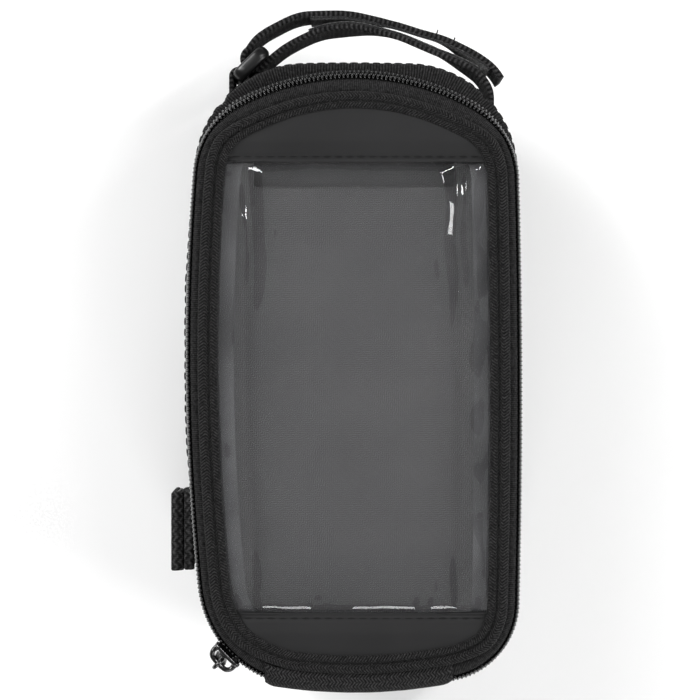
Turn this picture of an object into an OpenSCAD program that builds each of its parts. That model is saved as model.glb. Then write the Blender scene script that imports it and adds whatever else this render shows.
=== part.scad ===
// Soft tank bag with a clear phone window in its zipped lid.
// +X is right, +Y is forward, +Z is up. The origin is the middle of the base pad's underside.

/* [Lid and zipper outline] */
// Width of the bag over the zipper teeth
bag_w = 102; // [98:1:106]
// Distance from the middle of the bag to the zipper at the front
zip_front = 93.3; // [90:0.1:96]
// Distance from the middle of the bag to the back of the hinge strip
zip_rear = 94.5; // [92:0.1:97]
// Radius of the bowed front end of the lid
lid_front_r = 75; // [65:1:95]
// Radius of the two front corners of the lid
lid_corner_r = 27; // [22:1:32]
// Radius of the rear right corner
rear_right_r = 24; // [18:1:26]
// Radius of the rear left corner, where the slider parks
rear_left_r = 34; // [30:1:36]

/* [Body] */
// Distance from the middle of the bag to the front panel
body_front = 96.2; // [95:0.1:97]
// Radius of the two front corners of the body
body_corner_r = 33; // [28:1:36]
// Height of the underside of the body, which is the thickness of the base pad
base_z = 6; // [6:0.1:7]
// Height of the top of the side walls
wall_top = 80; // [70:1:80]
// Thickness of the outer fabric
fabric_t = 1.2; // [0.8:0.1:1.4]
// Thickness of the wall foam
foam_t = 3; // [2:0.5:4]
// Thickness of the lining
lining_t = 0.6; // [0.4:0.1:0.8]

/* [Zipper] */
// Height of the middle of the closed zipper
zip_z = 86.5; // [86.5:0.1:88]
// Gap between the two rows of teeth that the slider's post runs in
zip_gap = 1.4; // [1.2:0.1:1.6]
// Height of one row of teeth
teeth_h = 2; // [1.6:0.1:2.2]
// How far the teeth stand out of the tape
teeth_t = 1.2; // [1:0.1:1.4]
// Thickness of the tape
tape_t = 0.6; // [0.4:0.1:0.7]
// Where the slider parks, as an angle round the rear left corner
slider_angle = 224; // [224:1:230]
// Length of the slider, as an angle round the rear left corner
slider_span = 17; // [14:1:18]

/* [Lid] */
// How far the piping is set in from the teeth
piping_inset = 5; // [4.5:0.1:6]
// Width of the piping
piping_w = 5.5; // [5:0.1:6]
// Height of the piping
piping_h = 3.8; // [3:0.1:4.5]
// Front end of the clear window
window_front = 65.5; // [60:0.5:68]
// Rear end of the clear window
window_rear = -70.6; // [-74:0.1:-66]
// Depth of the phone pocket under the window
pocket_depth = 8.4; // [7.6:0.1:9]

/* [Straps] */
// Width of the webbing
web_w = 25; // [20:1:26]
// Thickness of the webbing
web_t = 1.5; // [1.2:0.1:1.6]
// Thickness of one layer of hook or loop tape
hook_t = 0.9; // [0.7:0.1:0.9]
// Height of the middle of the head strap
head_z = 60; // [50:1:64]
// Place of the base strap along the bag
base_strap_y = -49; // [-50:1:-46]
// Height of the folded tail of the base strap
bundle_top = 44; // [36:1:50]
// Width of the base pad
pad_w = 60; // [54:1:62]
// Length of the base pad
pad_l = 150; // [130:1:156]

/* [Hidden] */

// Arcs are cut into steps of about this many millimetres, and of at most this many degrees.
step = 4;
step_angle = 15;
// Radius of the gently bowed long sides and where they are widest, for the left and the right.
side_r = [700, 2500];
side_y = [8, -5];
rear_r = 160;
body_front_r = 700;
body_rear = 93.6;
body_half_w = bag_w / 2 - 0.6;

// An outline is [half width, front distance, front radius, front corner, rear distance, left corner, right corner].
zip_line = [bag_w / 2, zip_front, lid_front_r, lid_corner_r, zip_rear, rear_left_r, rear_right_r];
body_line = [body_half_w, body_front, body_front_r, body_corner_r, body_rear, rear_left_r, rear_right_r];

lining_in = fabric_t + foam_t + lining_t;
rim_top = wall_top + 1.2;
teeth_low = zip_z - zip_gap / 2;
teeth_high = zip_z + zip_gap / 2;
lid_deck = 90.2;
frame_inset = 4.4;
frame_inner = 14.5;
frame_z = lid_deck - 2;
lining_z = frame_z - 0.6;
panel_inset = piping_inset + piping_w;
panel_t = 0.8;
pocket_wall = 0.8;
pocket_inset = frame_inner - 1;
pocket_floor = lid_deck - pocket_depth;
hinge_y = -zip_rear - 0.3;
hinge_z = 88.6;
// Further than the bag reaches in any direction, for cutting.
beyond = 120;
// Space left between things that lie against each other.
touch = 0.05;
hinge_foot = 74;
hinge_left = -27;
hinge_right = 30;
zip_end_left = -30;
zip_end_right = 33;
seam_front = 40;
seam_rear = 33;
reflective_z = 56;
reflective_w = 8;
reflective_t = 0.4;
reflective_y = [-34, 82];
pad_corner_r = 12;
board_t = 2;
floor_z = base_z + fabric_t + board_t;

slot_half = 30.5;
slot_rear = 59;
slot_front = 69;
pocket_tape_half = 22;
pocket_tape_y = [69.5, 75];
pocket_tape_t = 0.5;
flap_half = 34;
flap_rear = 51;
flap_front = 76.5;
flap_t = 1;
hem_half_l = 3;
flap_z = pocket_floor - pocket_wall - 2.2;

// Ring of the head strap: its near bar is held by the anchor and its far bar stands in the fold of the strap.
ring_near = [-35.6, 93.4];
ring_far = [-27.9, 100.9];
ring_bar_r = 1.4;
ring_rail_h = 2.8;
ring_rail_r = 2;
anchor_r = ring_bar_r + 0.1 + web_t / 2;
// How far back the ends of the head strap reach into the front seams.
seam_y = 82.5;
fold_centre = [-30.9, 98.9];
fold_r = 3.4;
fold_a = 303.4;

// Ring of the base strap, lying flat under the right side of the base.
base_ring_x = 36;
base_ring_l = 12;
base_bar_r = 1.2;
base_bar_z = base_z / 2;
base_loop_r = base_bar_r + 0.1 + web_t / 2;
tunnel_z = base_z - web_t / 2 - touch;

dark = "#2e2e30";
soft_black = "#262527";
grey = "#4b4b4d";

// The two edges of something as wide as w that is centred on the base strap.
function strap_span(w) = [base_strap_y - w / 2, base_strap_y + w / 2];
function unit(a) = [cos(a), sin(a)];
function heading(v) = atan2(v[1], v[0]);
function arc(c, r, a, b) =
    let (n = ceil(abs(b - a) * max(1 / step_angle, PI / 180 * r / step)))
    [for (i = [0:n]) c + r * unit(a + (b - a) * i / n)];

// The crossing, on the side s, of a circle of radius p round a and one of radius q round b.
function crossing(a, p, b, q, s) =
    let (d = norm(b - a), u = (b - a) / d, m = (p * p - q * q + d * d) / (2 * d))
    a + m * u + s * sqrt(p * p - m * m) * [-u[1], u[0]];

// Below, s is -1 for the left side and 1 for the right side.
function pick(pair, s) = s > 0 ? pair[1] : pair[0];
function side_centre(o, s) = [s * (o[0] - pick(side_r, s)), pick(side_y, s)];
function front_centre(o) = [0, o[1] - o[2]];
function rear_centre(o) = [0, rear_r - o[4]];
function front_corner(o, s) =
    crossing(side_centre(o, s), pick(side_r, s) - o[3], front_centre(o), o[2] - o[3], s);
function rear_corner(o, s, r) =
    crossing(side_centre(o, s), pick(side_r, s) - r, rear_centre(o), rear_r - r, -s);

// The points of an outline, d inside the outer edge, anticlockwise from the rear right corner.
function outline(o, d) =
    let (
        fr = front_corner(o, 1),
        fl = front_corner(o, -1),
        rr = rear_corner(o, 1, o[6]),
        rl = rear_corner(o, -1, o[5]),
        right_fa = heading(fr - side_centre(o, 1)),
        left_fa = heading(fl - side_centre(o, -1)),
        front_ra = heading(fr - front_centre(o)),
        front_la = heading(fl - front_centre(o)),
        right_a = heading(rr - side_centre(o, 1)),
        rear_ra = heading(rr - rear_centre(o)),
        left_a = heading(rl - side_centre(o, -1)),
        rear_la = heading(rl - rear_centre(o))
    )
    concat(
        arc(side_centre(o, 1), side_r[1] - d, right_a, right_fa),
        arc(fr, o[3] - d, right_fa, front_ra),
        arc(front_centre(o), o[2] - d, front_ra, front_la),
        arc(fl, o[3] - d, front_la, left_fa),
        arc(side_centre(o, -1), side_r[0] - d, left_fa, 360 + left_a),
        arc(rl, o[5] - d, 360 + left_a, 360 + rear_la),
        arc(rear_centre(o), rear_r - d, rear_la, rear_ra),
        arc(rr, o[6] - d, rear_ra, right_a)
    );

// A smooth curve through points, with n steps between each two.
function spline(p, n = 6) = [
    for (i = [0:len(p) - 2], k = [0:n - 1])
        let (
            t = k / n,
            a = p[max(i - 1, 0)], b = p[i], c = p[i + 1], e = p[min(i + 2, len(p) - 1)]
        )
        0.5 * (2 * b + (c - a) * t + (2 * a - 5 * b + 4 * c - e) * t * t + (3 * b - a - 3 * c + e) * t * t * t),
    p[len(p) - 1]
];

// The sideways direction of a path at its point i.
function across(p, i) =
    let (v = p[min(i + 1, len(p) - 1)] - p[max(i - 1, 0)])
    [-v[1], v[0]] / norm(v);

// The outline of a band that follows a path, from a on its right to b on its left.
function band(p, a, b) = concat(
    [for (i = [0:len(p) - 1]) p[i] + b * across(p, i)],
    [for (i = [len(p) - 1:-1:0]) p[i] + a * across(p, i)]
);

module plate(o, d, z, h) {
    translate([0, 0, z]) linear_extrude(h) polygon(outline(o, d));
}

module ring(o, d, e, z, h) {
    translate([0, 0, z]) linear_extrude(h) difference() {
        polygon(outline(o, d));
        polygon(outline(o, e));
    }
}

module block(x, y, z) {
    translate([x[0], y[0], z[0]]) cube([x[1] - x[0], y[1] - y[0], z[1] - z[0]]);
}

// Takes away the stretch at the rear where the hinge strip is.
module open_at_hinge() {
    difference() {
        children();
        block([zip_end_left, zip_end_right], [-beyond, 0], [0, beyond]);
    }
}

module strap_band(p, a, b) {
    translate([0, 0, head_z - web_w / 2]) linear_extrude(web_w) polygon(band(p, a, b));
}

module base_band(p, a, b) {
    translate([0, base_strap_y + web_w / 2, 0]) rotate([90, 0, 0])
        linear_extrude(web_w) polygon(band(p, a, b));
}

// ---- Body ----

module base_pad() {
    r = pad_corner_r;
    color(soft_black) difference() {
        linear_extrude(base_z) polygon(concat(
            arc([pad_w / 2 - r, pad_l / 2 - r], r, 0, 90),
            arc([r - pad_w / 2, pad_l / 2 - r], r, 90, 180),
            arc([r - pad_w / 2, r - pad_l / 2], r, 180, 270),
            arc([pad_w / 2 - r, r - pad_l / 2], r, 270, 360)
        ));
        block([-pad_w, pad_w], strap_span(web_w + 1), [base_z - web_t - 0.1, base_z + 1]);
    }
}

module base_panel() color(dark) plate(body_line, fabric_t, base_z, fabric_t);
module base_board() color(grey) plate(body_line, fabric_t + foam_t, base_z + fabric_t, board_t);
module floor_foam() color(grey) plate(body_line, fabric_t + foam_t, floor_z, board_t);
module floor_lining() color(grey) plate(body_line, lining_in, floor_z + board_t, lining_t);

module wall(d, e, z) ring(body_line, d, e, z, wall_top - z);

module front_panel() {
    color(dark) intersection() {
        wall(0, fabric_t, base_z);
        block([-seam_front, seam_front], [0, beyond], [0, beyond]);
    }
}

module rear_panel() {
    color(dark) intersection() {
        wall(0, fabric_t, base_z);
        block([-seam_rear, seam_rear], [-beyond, 0], [0, beyond]);
    }
}

// Where x may be on one side of the bag.
function half_space(s) = s > 0 ? [0, beyond] : [-beyond, 0];

module side_panel(s) {
    color(dark) intersection() {
        difference() {
            wall(0, fabric_t, base_z);
            block([-seam_front, seam_front], [0, beyond], [0, beyond]);
            block([-seam_rear, seam_rear], [-beyond, 0], [0, beyond]);
        }
        block(half_space(s), [-beyond, beyond], [0, beyond]);
    }
}

module wall_foam() color(grey) wall(fabric_t, fabric_t + foam_t, base_z + fabric_t);
module wall_lining() color(grey) wall(fabric_t + foam_t, lining_in, floor_z + board_t);

module rim_binding() {
    color(soft_black) translate([0, 0, wall_top]) linear_extrude(rim_top - wall_top) difference() {
        polygon(outline(body_line, 0));
        intersection() {
            polygon(outline(body_line, lining_in + 0.2));
            polygon(outline(zip_line, 3));
        }
    }
}

module reflective_strip(s) {
    color("#9a9a98") intersection() {
        ring(body_line, -reflective_t, 0, reflective_z, reflective_w);
        block(half_space(s), reflective_y, [0, beyond]);
    }
}

module zip_tape_lower() {
    color(soft_black) open_at_hinge()
        ring(zip_line, teeth_t, teeth_t + tape_t, rim_top, teeth_low - rim_top);
}

module zip_teeth_lower() {
    color("black") open_at_hinge() ring(zip_line, 0, teeth_t, teeth_low - teeth_h, teeth_h);
}

module hinge_strip_body() {
    color(soft_black) block([hinge_left, hinge_right], [hinge_y, -body_rear - touch],
        [hinge_foot, hinge_z - 0.3]);
}

// ---- Head strap ----

// The strap leaves the front right seam, runs left and folds round the ring's far bar,
// and its tail comes back over it to the right.
head_inner = spline([[42.2, seam_y], [42.2, 88], [41, 91.4], [38.4, 94.6], [34.4, 97.3], [28.6, 100.5],
    [21, 103.9], [13.4, 106.9], [5.5, 108.6], [-1.8, 108.9], [-9.5, 107.9], [-16, 105.4], [-22.4, 101.7],
    fold_centre + fold_r * unit(fold_a)], 4);
head_fold = arc(fold_centre, fold_r, fold_a, fold_a - 180);
head_outer = spline([fold_centre - fold_r * unit(fold_a), [-29.9, 105.4], [-24.9, 108.7], [-16.5, 112.3],
    [-6, 112.9], [5.5, 112.2], [13, 110.8], [20.4, 108.5], [27.9, 106.1], [34.9, 102.1], [40.2, 98.7],
    [43.4, 95.9], [45.6, 92.8]], 4);
head_path = concat(head_inner, [for (i = [1:len(head_fold) - 2]) head_fold[i]], head_outer);
// The two tapes lie between the runs, from where they join.
inner_join = [for (q = head_inner) if (q[0] < 38 && q[0] > -14) q];
outer_join = [for (q = head_outer) if (q[0] < 43 && q[0] > -14) q];

module head_strap() {
    color(soft_black) difference() {
        strap_band(head_path, -web_t / 2, web_t / 2);
        plate(body_line, -touch, 0, beyond);
    }
}

module head_loop_tape() color("#1d1d1e") strap_band(inner_join, -web_t / 2 - hook_t, -web_t / 2);

// The hooks press into the loops at the right, where the runs meet.
module head_hook_tape() {
    color("#1d1d1e") difference() {
        strap_band(outer_join, -web_t / 2 - hook_t, -web_t / 2);
        translate([0, 0, head_z - web_w]) linear_extrude(2 * web_w)
            polygon(band(inner_join, -web_t / 2 - hook_t, web_t / 2));
    }
}

module head_ring_anchor() {
    anchor_path = concat(
        [[ring_near[0] - anchor_r, seam_y]],
        arc(ring_near, anchor_r, 180, 0),
        [[ring_near[0] + anchor_r, seam_y]]
    );
    color(soft_black) difference() {
        strap_band(anchor_path, -web_t / 2, web_t / 2);
        plate(body_line, -touch, 0, beyond);
    }
}

module head_ring() {
    opening = web_w + 0.6;
    color("#303034") {
        for (p = [ring_near, ring_far])
            translate([p[0], p[1], head_z - opening / 2 - 0.5]) cylinder(r = ring_bar_r, h = opening + 1, $fn = 32);
        for (z = [head_z + opening / 2, head_z - opening / 2 - ring_rail_h])
            hull() for (p = [ring_near, ring_far])
                translate([p[0], p[1], z]) cylinder(r = ring_rail_r, h = ring_rail_h, $fn = 32);
    }
}

// ---- Base strap ----

// The strap is looped round the flat ring on the right, runs left between pad and base,
// turns up the left wall and is folded on itself three times.
ply_x = -body_half_w - 0.1 - web_t / 2;
ply_step = web_t + 0.3;
ply_turn = ply_step / 2;
bundle_low = 12;
base_path = concat(
    [[31.5, base_bar_z - base_loop_r]],
    arc([base_ring_x, base_bar_z], base_loop_r, -90, 90),
    [[30, tunnel_z]],
    arc([-body_half_w + 0.1, base_z + 0.15], base_z + 0.15 - tunnel_z, 270, 180),
    arc([ply_x - ply_turn, bundle_top], ply_turn, 0, 180),
    arc([ply_x - ply_step - ply_turn, bundle_low], ply_turn, 360, 180),
    arc([ply_x - 2 * ply_step - ply_turn - hook_t / 2, bundle_top - 2], ply_turn + hook_t / 2, 0, 180),
    [[ply_x - 3 * ply_step - hook_t, bundle_low + 3]]
);

module base_strap() color(soft_black) base_band(base_path, -web_t / 2, web_t / 2);

module base_hook_tape() {
    x = ply_x - 3 * ply_step - hook_t + web_t / 2;
    color("#1d1d1e") block([x, x + hook_t], strap_span(web_w), [bundle_low + 4, bundle_top - 6]);
}

module base_ring() {
    half = web_w / 2 + 0.7 + base_bar_r;
    color("#303034") translate([base_ring_x, base_strap_y, base_bar_z]) {
        for (x = [0, base_ring_l])
            translate([x, half, 0]) rotate([90, 0, 0]) cylinder(r = base_bar_r, h = 2 * half, $fn = 32);
        for (y = [-half, half])
            translate([0, y, 0]) {
                rotate([0, 90, 0]) cylinder(r = base_bar_r, h = base_ring_l, $fn = 32);
                for (x = [0, base_ring_l]) translate([x, 0, 0]) sphere(r = base_bar_r, $fn = 32);
            }
    }
}

// ---- Lid ----

module zip_teeth_upper() {
    color("black") open_at_hinge() ring(zip_line, 0, teeth_t, teeth_high, teeth_h);
}

module zip_tape_upper() {
    color(soft_black) open_at_hinge() {
        ring(zip_line, teeth_t, teeth_t + tape_t, teeth_high, lid_deck - teeth_high);
        ring(zip_line, teeth_t, piping_inset, lid_deck, tape_t);
    }
}

module hinge_strip_lid() {
    profile = [
        [hinge_y, hinge_z + 0.3], [hinge_y + fabric_t, hinge_z + 0.3],
        [frame_inset - zip_rear - touch, lid_deck], [piping_inset - zip_rear - touch, lid_deck],
        [piping_inset - zip_rear - touch, lid_deck + fabric_t], [hinge_y, hinge_z + 0.3 + fabric_t]
    ];
    color(soft_black) translate([hinge_left, 0, 0]) rotate([90, 0, 90])
        linear_extrude(hinge_right - hinge_left) polygon(profile);
}

module lid_frame() color(grey) ring(zip_line, frame_inset, frame_inner, frame_z, lid_deck - frame_z);
module lid_lining() color(grey) ring(zip_line, frame_inset, frame_inner, lining_z, frame_z - lining_z);
module lid_piping() color("#242325") ring(zip_line, piping_inset, panel_inset, lid_deck, piping_h);

module lid_panel(y) {
    intersection() {
        plate(zip_line, panel_inset, lid_deck, panel_t);
        block([-beyond, beyond], y, [0, beyond]);
    }
}

module front_patch() color("#2f2f31") lid_panel([window_front, beyond]);
module rear_patch() color("#2c2c2e") lid_panel([-beyond, window_rear]);
module window() color("#c8ccce", 0.35) lid_panel([window_rear, window_front]);

module pocket_back() {
    color(grey) {
        ring(zip_line, pocket_inset, pocket_inset + pocket_wall, pocket_floor, lining_z - pocket_floor);
        difference() {
            plate(zip_line, pocket_inset, pocket_floor - pocket_wall, pocket_wall);
            block([-slot_half, slot_half], [slot_rear, slot_front], [0, beyond]);
        }
    }
}

module flap_hem() {
    color(soft_black) block([-flap_half, flap_half], [flap_rear - hem_half_l, flap_rear + hem_half_l],
        [flap_z + flap_t + 0.2, pocket_floor - pocket_wall]);
}

module pocket_tape(z) {
    color("#1d1d1e") block([-pocket_tape_half, pocket_tape_half], pocket_tape_y, [z, z + pocket_tape_t]);
}

module pocket_loop_tape() pocket_tape(pocket_floor - pocket_wall - pocket_tape_t);
module flap_hook_tape() pocket_tape(flap_z + flap_t);

module pocket_flap() {
    color(dark) block([-flap_half, flap_half], [flap_rear, flap_front], [flap_z, flap_z + flap_t]);
}

// ---- Slider ----

park = rear_corner(zip_line, -1, rear_left_r);
plate_out = rear_left_r + 0.4;
plate_outer = plate_out + 1.3;
plate_in = rear_left_r - 2.2;
plate_inner = plate_in - 1.1;
plate_inner_h = 5;
// How far the lip and the post reach into the plates that they join.
weld = 0.3;
lip_t = 0.7;
post_t = 0.9;
post_span = 3;
arm_t = 1.4;
arm_h = 2;
bridge_n = 4.6;
bridge_r = 0.85;
bridge_half = 3;
plate_low = teeth_low - teeth_h - 1;
plate_high = teeth_high + teeth_h + 0.6;

// A curved plate round the rear left corner, from radius a to b and height c to d, span degrees wide.
module corner_plate(a, b, c, d, from, span) {
    translate([park[0], park[1], 0]) rotate([0, 0, slider_angle + from])
        rotate_extrude(angle = span, $fn = 96) translate([a, c]) square([b - a, d - c]);
}

// Puts children at the slider: x runs outwards, y towards the rear end of the zipper.
module at_slider() {
    translate([park[0], park[1], 0]) rotate([0, 0, slider_angle]) translate([rear_left_r, 0, zip_z]) children();
}

module zip_slider() {
    half = slider_span / 2;
    color("#1b1b1d") {
        corner_plate(plate_out, plate_outer, plate_low, plate_high, -half, slider_span);
        corner_plate(plate_inner, plate_in, zip_z - plate_inner_h / 2, zip_z + plate_inner_h / 2, -half,
            slider_span);
        corner_plate(rear_left_r - 0.9, plate_out + weld, plate_low, plate_low + lip_t, -half, slider_span);
        corner_plate(plate_in - weld, plate_out + weld, zip_z - post_t / 2, zip_z + post_t / 2, half - 4,
            post_span);
        at_slider() {
            translate([bridge_n, bridge_half, 0]) rotate([90, 0, 0])
                cylinder(r = bridge_r, h = 2 * bridge_half, $fn = 32);
            for (y = [-1, 1])
                translate([1.2, y * (bridge_half + 0.5) - arm_t / 2, -arm_h / 2])
                    cube([bridge_n + bridge_r - 1.2, arm_t, arm_h]);
        }
    }
}

module zip_pull() {
    eye_r = 2.4;
    eye_t = 1.4;
    color("#202022") at_slider() translate([bridge_n, 0, 0]) {
        translate([0, eye_t / 2, 0]) rotate([90, 0, 0]) difference() {
            cylinder(r = eye_r, h = eye_t, $fn = 40);
            translate([0, 0, -1]) cylinder(r = bridge_r + 0.07, h = eye_t + 2, $fn = 40);
        }
        block([-1.2, 1.2], [-2.4, 2.4], [-22, -2]);
    }
}

base_pad();
base_panel();
base_board();
floor_foam();
floor_lining();
front_panel();
rear_panel();
side_panel(-1);  // left_panel
side_panel(1);  // right_panel
wall_foam();
wall_lining();
rim_binding();
reflective_strip(-1);  // reflective_left
reflective_strip(1);  // reflective_right
zip_tape_lower();
zip_teeth_lower();
hinge_strip_body();
head_strap();
head_loop_tape();
head_hook_tape();
head_ring_anchor();
head_ring();
base_strap();
base_hook_tape();
base_ring();
zip_tape_upper();
zip_teeth_upper();
hinge_strip_lid();
lid_frame();
lid_lining();
lid_piping();
front_patch();
rear_patch();
window();
pocket_back();
flap_hem();
pocket_loop_tape();
pocket_flap();
flap_hook_tape();
zip_slider();
zip_pull();
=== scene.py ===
"""A soft tank bag with a clear phone window in its zipped lid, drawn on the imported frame."""

import math
from functools import partial

import bmesh
import bpy
import numpy as np
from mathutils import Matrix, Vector, noise


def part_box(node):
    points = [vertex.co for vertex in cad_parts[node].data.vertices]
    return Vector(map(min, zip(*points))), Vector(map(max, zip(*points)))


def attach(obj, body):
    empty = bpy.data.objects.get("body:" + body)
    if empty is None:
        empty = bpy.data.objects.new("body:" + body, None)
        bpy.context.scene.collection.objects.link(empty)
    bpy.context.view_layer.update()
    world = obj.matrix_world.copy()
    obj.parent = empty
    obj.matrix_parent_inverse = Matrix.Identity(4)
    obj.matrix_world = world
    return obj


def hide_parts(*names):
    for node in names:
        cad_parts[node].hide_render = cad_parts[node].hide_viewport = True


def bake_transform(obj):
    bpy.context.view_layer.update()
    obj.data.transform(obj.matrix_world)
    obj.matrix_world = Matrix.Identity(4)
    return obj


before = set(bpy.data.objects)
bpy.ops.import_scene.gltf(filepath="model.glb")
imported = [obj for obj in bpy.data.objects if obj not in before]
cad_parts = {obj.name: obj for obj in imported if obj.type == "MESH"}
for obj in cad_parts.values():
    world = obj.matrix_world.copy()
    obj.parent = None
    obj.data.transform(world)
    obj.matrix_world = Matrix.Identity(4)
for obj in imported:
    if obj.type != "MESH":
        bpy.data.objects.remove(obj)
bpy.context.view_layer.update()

# Lengths below are in millimetres, and become metres when a mesh is made.
MM = 0.001

# ---------------------------------------------------------------- outlines

# Radius of the long sides and where each is widest, for the right and the left.
SIDE_R = (2500, 700)
SIDE_Y = (-5, 8)
REAR_R = 160
REAR_LEFT_R = 34
REAR_RIGHT_R = 24
# How finely each of the eight arcs is cut: side, corner, front, corner, side, corner, rear, corner.
ARC_CUTS = (62, 18, 34, 18, 62, 24, 26, 16)


class Line:
    """A closed outline of eight arcs, as in the frame."""

    def __init__(self, half_w, front, front_r, corner_r, rear):
        side = [np.array([s * (half_w - SIDE_R[i]), SIDE_Y[i]]) for i, s in ((0, 1), (1, -1))]
        front_c = np.array([0, front - front_r])
        rear_c = np.array([0, REAR_R - rear])
        fr, fl = (
            crossing(side[i], SIDE_R[i] - corner_r, front_c, front_r - corner_r, s)
            for i, s in ((0, 1), (1, -1))
        )
        rr = crossing(side[0], SIDE_R[0] - REAR_RIGHT_R, rear_c, REAR_R - REAR_RIGHT_R, -1)
        rl = crossing(side[1], SIDE_R[1] - REAR_LEFT_R, rear_c, REAR_R - REAR_LEFT_R, 1)
        bow_r, bow_l = heading(fr - side[0]), heading(fl - side[1])
        nose_r, nose_l = heading(fr - front_c), heading(fl - front_c)
        tail_r, tail_l = heading(rr - rear_c), heading(rl - rear_c)
        right_a, left_a = heading(rr - side[0]), heading(rl - side[1]) + 360
        self.rear_left = rl
        self.arcs = (
            (side[0], SIDE_R[0], right_a, bow_r),
            (fr, corner_r, bow_r, nose_r),
            (front_c, front_r, nose_r, nose_l),
            (fl, corner_r, nose_l, bow_l),
            (side[1], SIDE_R[1], bow_l, left_a),
            (rl, REAR_LEFT_R, left_a, tail_l + 360),
            (rear_c, REAR_R, tail_l + 360, tail_r + 360),
            (rr, REAR_RIGHT_R, tail_r + 360, right_a + 360),
        )

    def at(self, steps):
        """Points and outward normals at steps, each a whole arc number plus how far along that arc."""
        points, normals = [], []
        for step in steps:
            i = min(int(step % 8), 7)
            centre, r, a, b = self.arcs[i]
            angle = math.radians(a + (b - a) * (step % 8 - i))
            out = np.array([math.cos(angle), math.sin(angle)])
            points.append(centre + r * out)
            normals.append(out)
        return np.array(points), np.array(normals)


def heading(v):
    """The angle of a flat direction, in degrees."""
    return math.degrees(math.atan2(v[1], v[0]))


def crossing(a, p, b, q, side):
    """The crossing of a circle of radius p round a and one of radius q round b."""
    d = np.linalg.norm(b - a)
    u = (b - a) / d
    m = (p * p - q * q + d * d) / (2 * d)
    return a + m * u + side * math.sqrt(p * p - m * m) * np.array([-u[1], u[0]])


BODY_HALF_W = 50.4
ZIP_LINE = Line(half_w=51, front=93.3, front_r=75, corner_r=27, rear=94.5)
BODY_LINE = Line(half_w=BODY_HALF_W, front=96.2, front_r=700, corner_r=33, rear=93.6)

# Heights of the frame that the soft pieces follow: the underside of the base, the tops of the
# walls, the middle of the closed zipper, and the foam under the lid's cloth.
BASE_Z = 6.0
WALL_TOP = 80.0
ZIP_Z = 86.5
DECK_Z = 90.2


def find_step(line, test):
    """The first step of a dense walk round the line where test becomes true."""
    steps = np.arange(0, 8, 0.002)
    points, _ = line.at(steps)
    hits = [bool(test(p)) for p in points]
    for i in range(1, len(hits)):
        if hits[i] and not hits[i - 1]:
            return float(steps[i])
    raise ValueError("the outline has no such place")


SEAM_FRONT_RIGHT = find_step(BODY_LINE, lambda p: p[1] > 60 and p[0] < 40)
SEAM_FRONT_LEFT = find_step(BODY_LINE, lambda p: p[1] > 60 and p[0] < -40)
SEAM_REAR_LEFT = find_step(BODY_LINE, lambda p: p[1] < -60 and p[0] > -33)
SEAM_REAR_RIGHT = find_step(BODY_LINE, lambda p: p[1] < -60 and p[0] > 33)
SEAMS = (SEAM_FRONT_RIGHT, SEAM_FRONT_LEFT, SEAM_REAR_LEFT, SEAM_REAR_RIGHT)
# Where the extra points beside a seam lie, so that its valley comes out sharp.
SEAM_OFFSETS = (-1.8, -1.2, -0.8, -0.5, -0.25, 0, 0.25, 0.5, 0.8, 1.2, 1.8)


def walk():
    """The steps that every lofted piece shares, with more of them beside each seam."""
    steps = set()
    for i, cuts in enumerate(ARC_CUTS):
        steps.update(round(i + k / cuts, 4) for k in range(cuts))
    for seam in SEAMS:
        _, r, a, b = BODY_LINE.arcs[int(seam)]
        arc_mm = r * math.radians(b - a)
        for offset in SEAM_OFFSETS:
            steps.add(round(seam + offset / arc_mm, 4))
    return np.array(sorted(s % 8 for s in steps))


WALK = walk()
BODY_PTS, BODY_OUT = BODY_LINE.at(WALK)
ZIP_PTS, ZIP_OUT = ZIP_LINE.at(WALK)


def lengths_round(points):
    """Distance walked to each point of a closed path, and the whole length."""
    gaps = np.linalg.norm(np.roll(points, -1, axis=0) - points, axis=1)
    return np.concatenate([[0], np.cumsum(gaps)[:-1]]), gaps.sum()


BODY_RUN, BODY_ROUND = lengths_round(BODY_PTS)


def run_along(path):
    """Distance walked to each point of an open path."""
    return np.concatenate([[0], np.cumsum(np.linalg.norm(np.diff(path, axis=0), axis=1))])


def unit(vectors):
    """The same directions, each one millimetre long."""
    return vectors / np.linalg.norm(vectors, axis=1)[:, None]


def at_height(flat, z):
    """Flat points lifted to one height."""
    return np.column_stack([flat, np.full(len(flat), z)])


def smooth(x, low, high):
    """0 below low, 1 above high, and smooth between."""
    t = np.clip((np.asarray(x, float) - low) / (high - low), 0, 1)
    return t * t * (3 - 2 * t)


def ripple(x, y, z, size, seed=0.0):
    """Soft unevenness, from -1 to 1, about size millimetres across."""
    return noise.noise(Vector((x / size + seed, y / size - seed, z / size + 0.37 * seed)))


def ripples(points, size, seed=0.0):
    """The same unevenness for many points."""
    return np.array([ripple(p[0], p[1], p[2], size, seed) for p in points])


# ---------------------------------------------------------------- meshes


def place_piece(name, mesh, body):
    """Puts a mesh in the scene as a piece, on its body if it has one."""
    piece = bpy.data.objects.new(name, mesh)
    bpy.context.scene.collection.objects.link(piece)
    if body:
        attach(piece, body)
    return piece


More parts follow.
